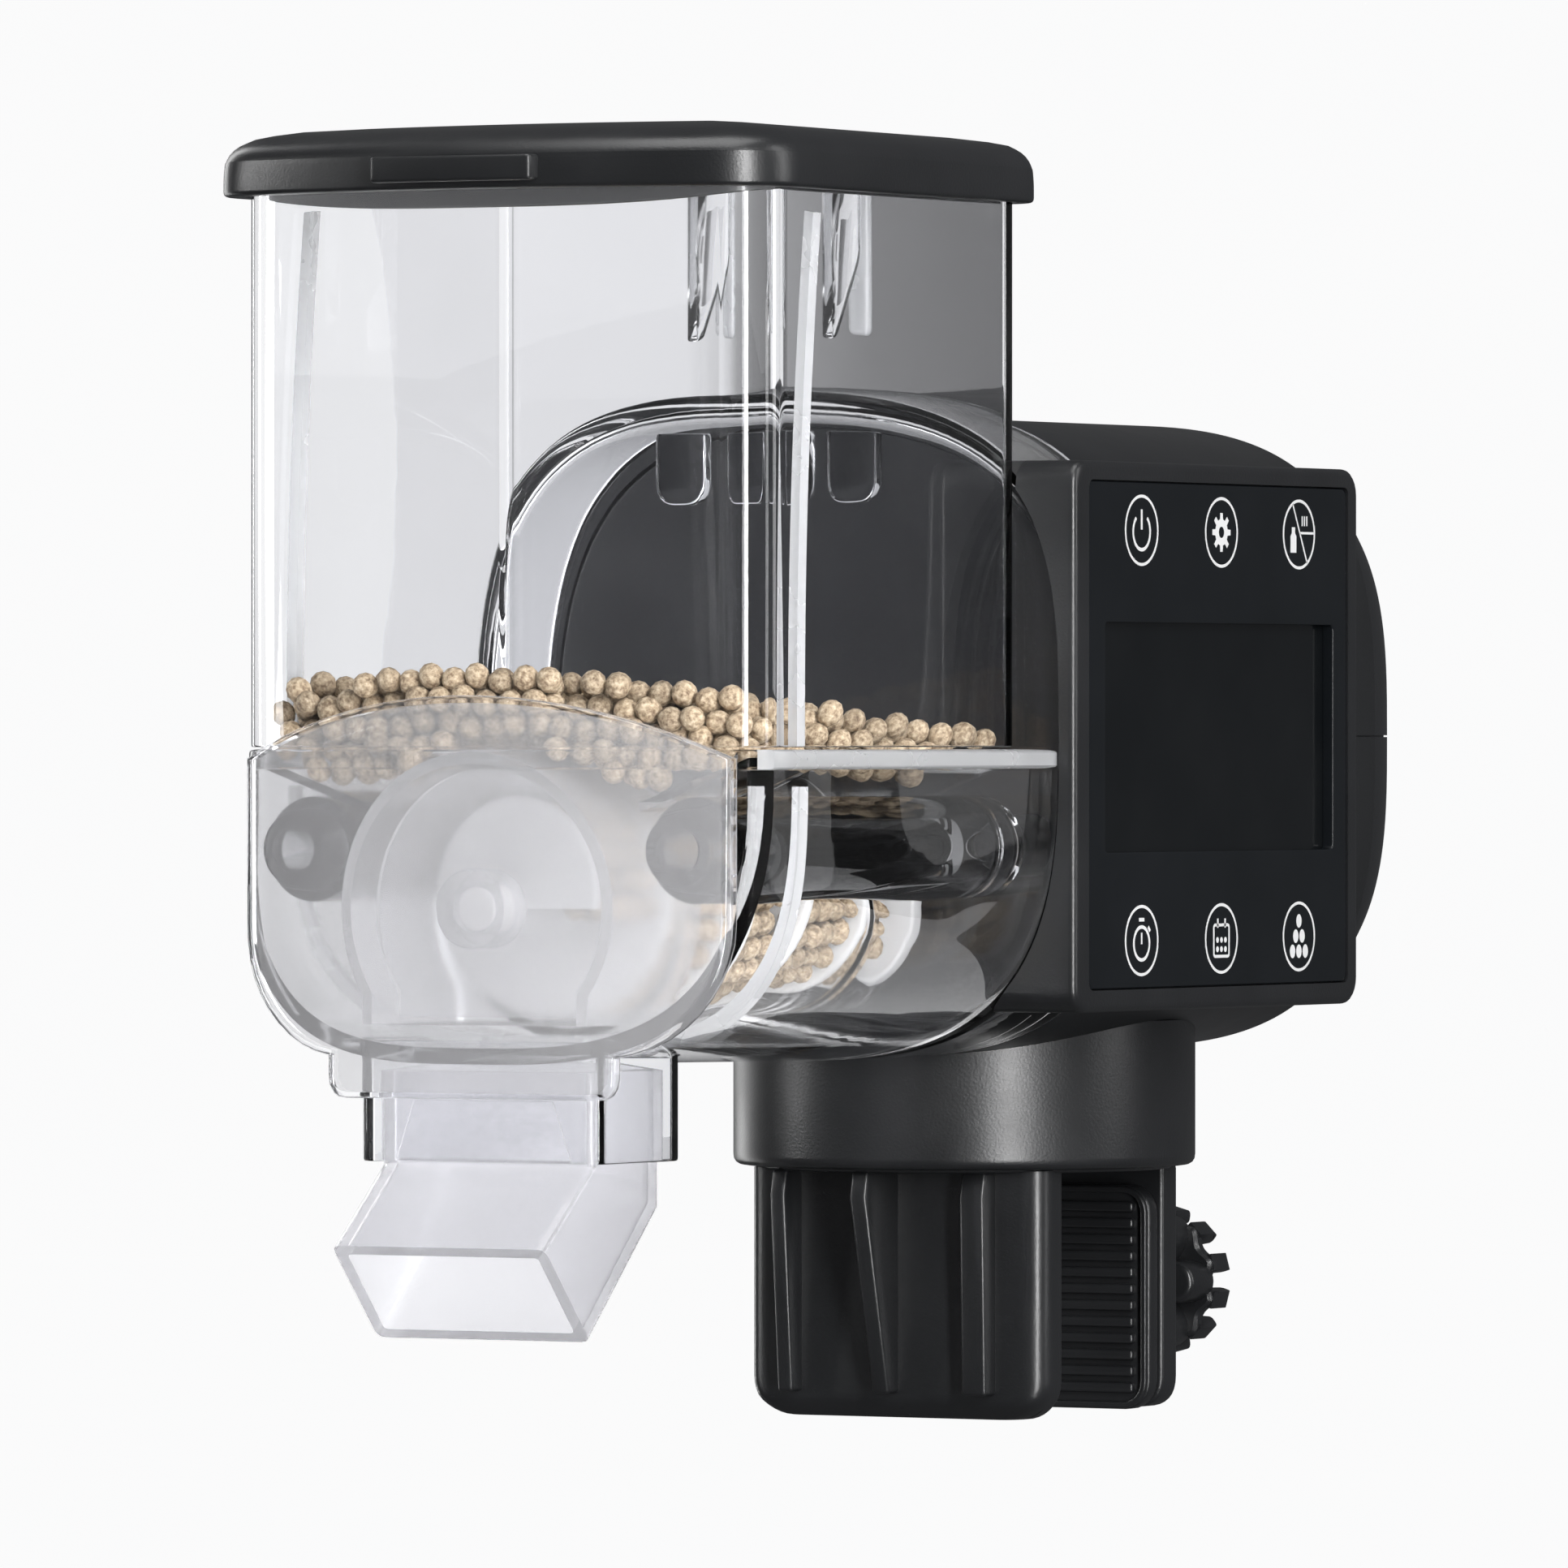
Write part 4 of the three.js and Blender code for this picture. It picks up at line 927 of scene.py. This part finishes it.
def build_marks():
    x = GLASS_HIGH.x + 0.03
    columns = (-42.1, -18.3, 5.3)
    upper, lower = 90.4, 33.4
    parts = []
    def line(path, width, centre, closed=False):
        parts.append(strip(path, width, centre, x, closed))
    def dot(outline, centre):
        parts.append(flat(outline, centre, x))
    for y in columns:
        for z in (upper, lower):
            line(circle(4.75, 56), 0.42, (y, z), closed=True)
    power, setup, stock = [(y, upper) for y in columns]
    line(arc(0, -0.2, 2.5, TAU * 0.36, TAU * 1.14, 30), 0.5, power)
    line([(0, 0.1), (0, 2.9)], 0.55, power)
    teeth = 8
    cog = [polar(r, TAU * (i + share) / teeth) for i in range(teeth)
           for share, r in ((-0.30, 1.9), (-0.18, 2.75), (0.18, 2.75), (0.30, 1.9))]
    hole = [polar(0.8, math.atan2(v, u)) for u, v in cog]
    parts.append(loft([flat(ring, setup, x)[0] for ring in (cog, hole)], cap=False))
    line([(-1.9, 4.3), (2.5, -4.0)], 0.34, stock)
    line([(0.3, 0.2), (4.6, 0.2)], 0.34, stock)
    dot([(-2.6, -2.6), (-0.8, -2.6), (-0.8, -0.3), (-1.2, 0.2), (-1.2, 1.0), (-2.2, 1.0), (-2.2, 0.2),
         (-2.6, -0.3)], stock)
    for k in range(3):
        line([(1.0 + 0.7 * k, 1.2), (1.0 + 0.7 * k, 2.6)], 0.34, stock)
    timer, calendar, ration = [(y, lower) for y in columns]
    line(circle(2.3, 40, 0, -0.4), 0.5, timer, closed=True)
    line([(-0.8, 2.9), (0.8, 2.9)], 0.5, timer)
    line([(1.9, 1.9), (2.5, 1.3)], 0.5, timer)
    line([(0, -0.5), (0, 1.1)], 0.45, timer)
    line(rounded_box(-2.3, 2.3, -2.5, 1.9, 0.4, 3), 0.42, calendar, closed=True)
    for side in (-1.1, 1.1):
        line([(side, 1.5), (side, 2.8)], 0.45, calendar)
    for row in range(2):
        for column in range(3):
            dot(circle(0.42, 12, -1.2 + 1.2 * column, -1.5 + 1.3 * row), calendar)
    for row in range(3):
        for column in range(3 - row):
            dot(circle(0.82, 24, (column - (2 - row) / 2) * 1.95, -2.1 + 2.15 * row, 1.18), ration)
    make("panel_marks", parts, "panel_black", "drive_unit", look=PRINT)


# ---- clamp ----
def build_clamp():
    table = bent([(0.3, 0, 0), (29.9, 0, 0.8), (29.9, 5.9, 0.6), (8, 5.9, 0.3), (8, 9.1, 0.4),
                  (0.3, 9.1, 0)])
    table = loft(upright_turned(table))
    half, jaw_front, jaw_back, low = 24.0, -21.0, -14.8, JAW_LOW.z
    edge = 3.6
    upright = soften([(-half, jaw_back, 0.5), (-half, jaw_front, edge), (half, jaw_front, edge),
                      (half, jaw_back, 0.5)], steps=8)
    corner = 5.5
    rings = []
    for k in range(10):  # the lower corners, then the upright part
        angle = TAU / 4 * k / 9
        inset = corner * (1 - math.sin(angle))
        rise = corner * (1 - math.cos(angle))
        fillet = max(2.4 - rise, 0) * 0.7
        rings.append([(x * (1 - inset / half), y + (fillet if y < jaw_front + edge else 0), low + rise)
                      for x, y in upright])
    jaw = loft(rings + [along_z(upright, -20), along_z(upright, 0.3)])
    ribs = []
    for left, right, top, foot in ((-17.3, -14.9, 5.1, 2.8), (-1.9, 0.8, 9.6, 2.8), (12.6, 16.5, 3.7, 3.0)):
        side = [(jaw_front + 0.5, 0.2), (jaw_front - top + 0.8, 0.2), (jaw_front - top, -3.4),
                (jaw_front - foot, -31.5), (jaw_front + 0.5, -31.5)]
        ribs.append(slab(along_x, side, left, right, 0.5, 3))
    arm = soften([(22.9, 0.3, 0), (22.9, -34.6, 4.5), (-22.9, -34.6, 4.5), (-22.9, 0.3, 0)], steps=8)
    arm = slab(along_y, arm, 17.3, 22, 0.6, 3, 50)
    bush = soften([(4.0, 17, 0), (4.0, 24.4, 0.4), (5.6, 24.4, 0.6), (5.6, 17, 0)])
    bush = loft(turned(bush, 0, SCREW_Z, 40), loop=True)
    make("clamp_bracket_dark", [table, jaw, *ribs, arm, bush], "dark_plastic", "clamp", ["clamp_bracket"])
    ridged_pad("jaw_grip_pad_rubber", "clamp", "grip_rubber", "jaw_grip_pad", -14.5, -12.8, 20.5, -31.5,
               -3.0, 3)
    ridged_pad("pressure_plate_dark", "plate", "dark_plastic", "pressure_plate", PLATE_HIGH.y, PLATE_LOW.y,
               PLATE_HIGH.x, PLATE_LOW.z, PLATE_HIGH.z, 4)


def ridged_pad(name, body, slot, node, back, face, half, low, high, corner):
    """A rounded plate whose gripping face carries horizontal ridges."""
    way = 1 if face > back else -1
    outline = rounded_box(-half, half, low, high, corner)
    base = face - way * 1.1
    plate = slab(along_y, outline, back, base, 0.4, 3, 50)
    ridges = []
    pitch = 2.36
    count = int((high - low - 2.6) / pitch)
    for i in range(count):
        z = (high + low) / 2 + (i - (count - 1) / 2) * pitch
        y0, y1 = sorted((base - way * 0.2, face))
        ridges.append(block(-half + 2.2, half - 2.2, y0, y1, z - 0.75, z + 0.75, 0.45))
    crest = face - way * 0.3
    profile = bent([(0.2, base, 0), (0.2, crest, 0.3), (1.1, crest, 0.3), (1.1, base, 0)])
    rim = [along_y(rounded_box(-half + g, half - g, low + g, high - g, corner - g), y) for g, y in profile]
    make(name, [plate, *ridges, loft(rim, loop=True)], slot, body, [node])


def build_screw():
    pitch = 1.5
    turns = int((SCREW_HIGH.y - SCREW_LOW.y) / pitch)
    profile = [(0.2, SCREW_LOW.y), (2.0, SCREW_LOW.y), (2.0, PLATE_HIGH.y + 0.4)]
    start = PLATE_HIGH.y + 0.5
    for i in range(turns):
        y = start + pitch * i
        if y < KNOB_LOW.y + 1:
            profile += [(2.75, y), (3.2, y + 0.4), (3.2, y + 0.8), (2.75, y + 1.2)]
    profile += [(2.75, SCREW_HIGH.y), (0.2, SCREW_HIGH.y)]
    thread = loft(turned(profile, 0, SCREW_Z, 40))
    make("clamp_screw_threaded", [thread], "dark_plastic", "screw", ["clamp_screw"])


def build_knob():
    front, rear = KNOB_LOW.y, KNOB_HIGH.y
    radius, crown = 10.9, KNOB_HIGH.y - 4.6
    fingers = []
    for k in range(6):
        angle = TAU * k / 6
        c, s = polar(1, angle)
        lobe = [(0, -3), *arc(radius - 3.2, 0, 3, -TAU / 4, TAU / 4, 14), (0, 3)]
        outline = [(p * c - q * s, SCREW_Z + p * s + q * c) for p, q in lobe]
        fingers.append(slab(along_y, outline, front, crown - 0.6, 0.9, 3, 50))
    steps = 144
    def scalloped(inset, y):
        ring = []
        for i in range(steps):
            angle = TAU * i / steps
            wave = abs(math.cos(6 * angle))  # scallops lie between the twelve teeth
            u, v = polar(radius - inset - 1.1 * wave ** 1.5, angle)
            ring.append((u, y, SCREW_Z + v))
        return ring
    profile = [(8, crown - 2), (0.5, crown - 2), (0, crown - 1.5), (0, crown - 0.2), (0.4, crown), (8, crown)]
    flange = loft([scalloped(inset, y) for inset, y in profile])
    teeth = []
    for i in range(12):
        angle = TAU * (i + 0.5) / 12
        c, s = polar(1, angle)
        side = soften([(radius - 2.6, crown - 1.2, 0), (radius, crown - 1.2, 0), (radius, rear, 1.6),
                       (radius - 2.0, rear, 0.6)], steps=5)
        tooth = bevelled(*loft([[(r, w, y) for r, y in side] for w in (-1.25, 1.25)]), 0.35, 3, 50)
        teeth.append(([(r * c - w * s, y, SCREW_Z + r * s + w * c) for r, w, y in tooth[0]], tooth[1]))
    make("clamp_knob_dark", [*fingers, flange, *teeth], "dark_plastic", "screw", ["clamp_knob"])


# ---- stage ----
def area_light(name, azimuth, elevation, distance, width, height, power):
    """A soft box. Azimuth 0 stands at the front (-Y) and 90 on the +X side."""
    a, e = math.radians(azimuth), math.radians(elevation)
    way = Vector((math.sin(a) * math.cos(e), -math.cos(a) * math.cos(e), math.sin(e)))
    data = bpy.data.lights.new(name, "AREA")
    data.shape = "RECTANGLE"
    data.size, data.size_y = width, height
    data.energy = power
    light = add(name, data)
    light.location = Vector((0, -30, 60)) * MM + way * distance  # about the middle of the object
    light.rotation_mode = "QUATERNION"
    light.rotation_quaternion = way.to_track_quat("Z", "Y")


def card(name, azimuth, distance, stops, low, high):
    """A graded card that glows with painted greys. It is seen only through the clear plastic, where it paints
    shade into the walls: stops are (mm across, grey).
    """
    turn = math.radians(azimuth)
    right = Vector((math.cos(turn), math.sin(turn), 0))
    away = Vector((-math.sin(turn), math.cos(turn), 0))
    points = [(right * x + away * distance + Vector((0, 0, z))) * MM for x, _ in stops for z in (low, high)]
    mesh = bpy.data.meshes.new(name)
    mesh.from_pydata(points, [], [(2 * i, 2 * i + 2, 2 * i + 3, 2 * i + 1) for i in range(len(stops) - 1)])
    shades = mesh.color_attributes.new("shade", "FLOAT_COLOR", "POINT")
    for i, (_, grey) in enumerate(stops):
        shades.data[2 * i].color = shades.data[2 * i + 1].color = (grey * 0.985, grey * 0.985, grey, 1)
    # The card is no lit paper: it glows, and its greys are painted light and shade.
    material, tree, shader = principled(name + "_paper", Roughness=1.0, Emission_Strength=1.0,
                                        Base_Color=(0, 0, 0, 1), Specular_IOR_Level=0)
    shade = tree.nodes.new("ShaderNodeVertexColor")
    shade.layer_name = "shade"
    tree.links.new(shade.outputs["Color"], shader.inputs["Emission Color"])
    mesh.materials.append(material)
    sheet = add(name, mesh)
    sheet.visible_camera = sheet.visible_diffuse = sheet.visible_glossy = sheet.visible_shadow = False


def build_stage():
    scene = bpy.context.scene
    scene.view_settings.view_transform = "Standard"
    world = bpy.data.worlds.new("studio")
    scene.world = world
    world.use_nodes = True
    background = world.node_tree.nodes["Background"]
    background.inputs["Color"].default_value = (0.95, 0.96, 1.0, 1)
    background.inputs["Strength"].default_value = 0.09

    # a white sweep, seen only through the clear plastic
    sweep = bent([(-4, FLOOR_Z, 0), (3.2, FLOOR_Z, 1.6), (3.2, 4.5, 0)], steps=24)
    mesh = bpy.data.meshes.new("sweep")
    points = [(x, y, z) for y, z in sweep for x in (-9, 9)]
    mesh.from_pydata(points, [], [(2 * i, 2 * i + 1, 2 * i + 3, 2 * i + 2) for i in range(len(sweep) - 1)])
    mesh.polygons.foreach_set("use_smooth", [True] * len(mesh.polygons))
    floor = add("floor", mesh)
    floor.rotation_euler.z = math.radians(VIEW_AZIMUTH)
    material, tree, shader = principled("pale_paper", Roughness=0.9, Emission_Strength=0.9,
                                        Emission_Color=(1, 1, 1, 1))
    tint(tree, shader, noise(tree, 3, 2.0), (0.70, 0.70, 0.705), (0.72, 0.72, 0.72))
    mesh.materials.append(material)
    floor.visible_camera = floor.visible_diffuse = floor.visible_glossy = False

    # the room that the camera sees: a floor and a far round wall, the same from every side
    points, faces = loft([along_z(circle(12, 64), z) for z in (FLOOR_Z, 14)])
    mesh = bpy.data.meshes.new("room")
    mesh.from_pydata(points, [], faces)
    mesh.materials.append(material)
    room = add("room", mesh)
    room.visible_diffuse = room.visible_glossy = room.visible_transmission = room.visible_shadow = False

    # painted shade: glowing greys behind the hopper, darker to the right of the view, seen only through its
    # walls
    painted_grey_stops = [(-95, 0.95), (-42, 0.88), (-30, 0.42), (-10, 0.26), (34, 0.16), (38, 0.9), (48, 0.95)]
    card("graded_card", VIEW_AZIMUTH, 350, painted_grey_stops, 45, 170)
    # painted shade: a black sheet behind the object, seen only through the clear plastic
    card("black_painted_shade_sheet", -30, 500, [(-180, 0.01), (180, 0.01)], -150, 450)

    area_light("key", 52, 8, 1.3, 0.15, 1.6, 21)
    area_light("front_fill", -64, 12, 1.5, 0.14, 1.0, 4.5)
    area_light("top", 10, 78, 1.2, 0.9, 0.9, 7)
    area_light("left_rim", -118, 10, 1.4, 0.2, 1.6, 5.5)
    area_light("right_rim", 108, 22, 1.4, 0.2, 1.4, 4.5)

    data = bpy.data.cameras.new("camera")
    data.sensor_width = 36
    data.lens = 326.1
    data.clip_start, data.clip_end = 0.05, 50
    camera = add("camera", data)
    camera.location = (0.9796, -1.7839, 0.0618)
    camera.rotation_euler = (math.radians(90 - 0.193), 0, math.radians(VIEW_AZIMUTH))
    scene.camera = camera


build_bin()
build_lower_body()
build_cup()
build_trough()
build_tubes()
build_heap()
build_auger()
build_carried_pellets()
build_cover()
build_chute()
build_lid()
build_casing()
build_panel()
build_marks()
build_clamp()
build_screw()
build_knob()
build_stage()
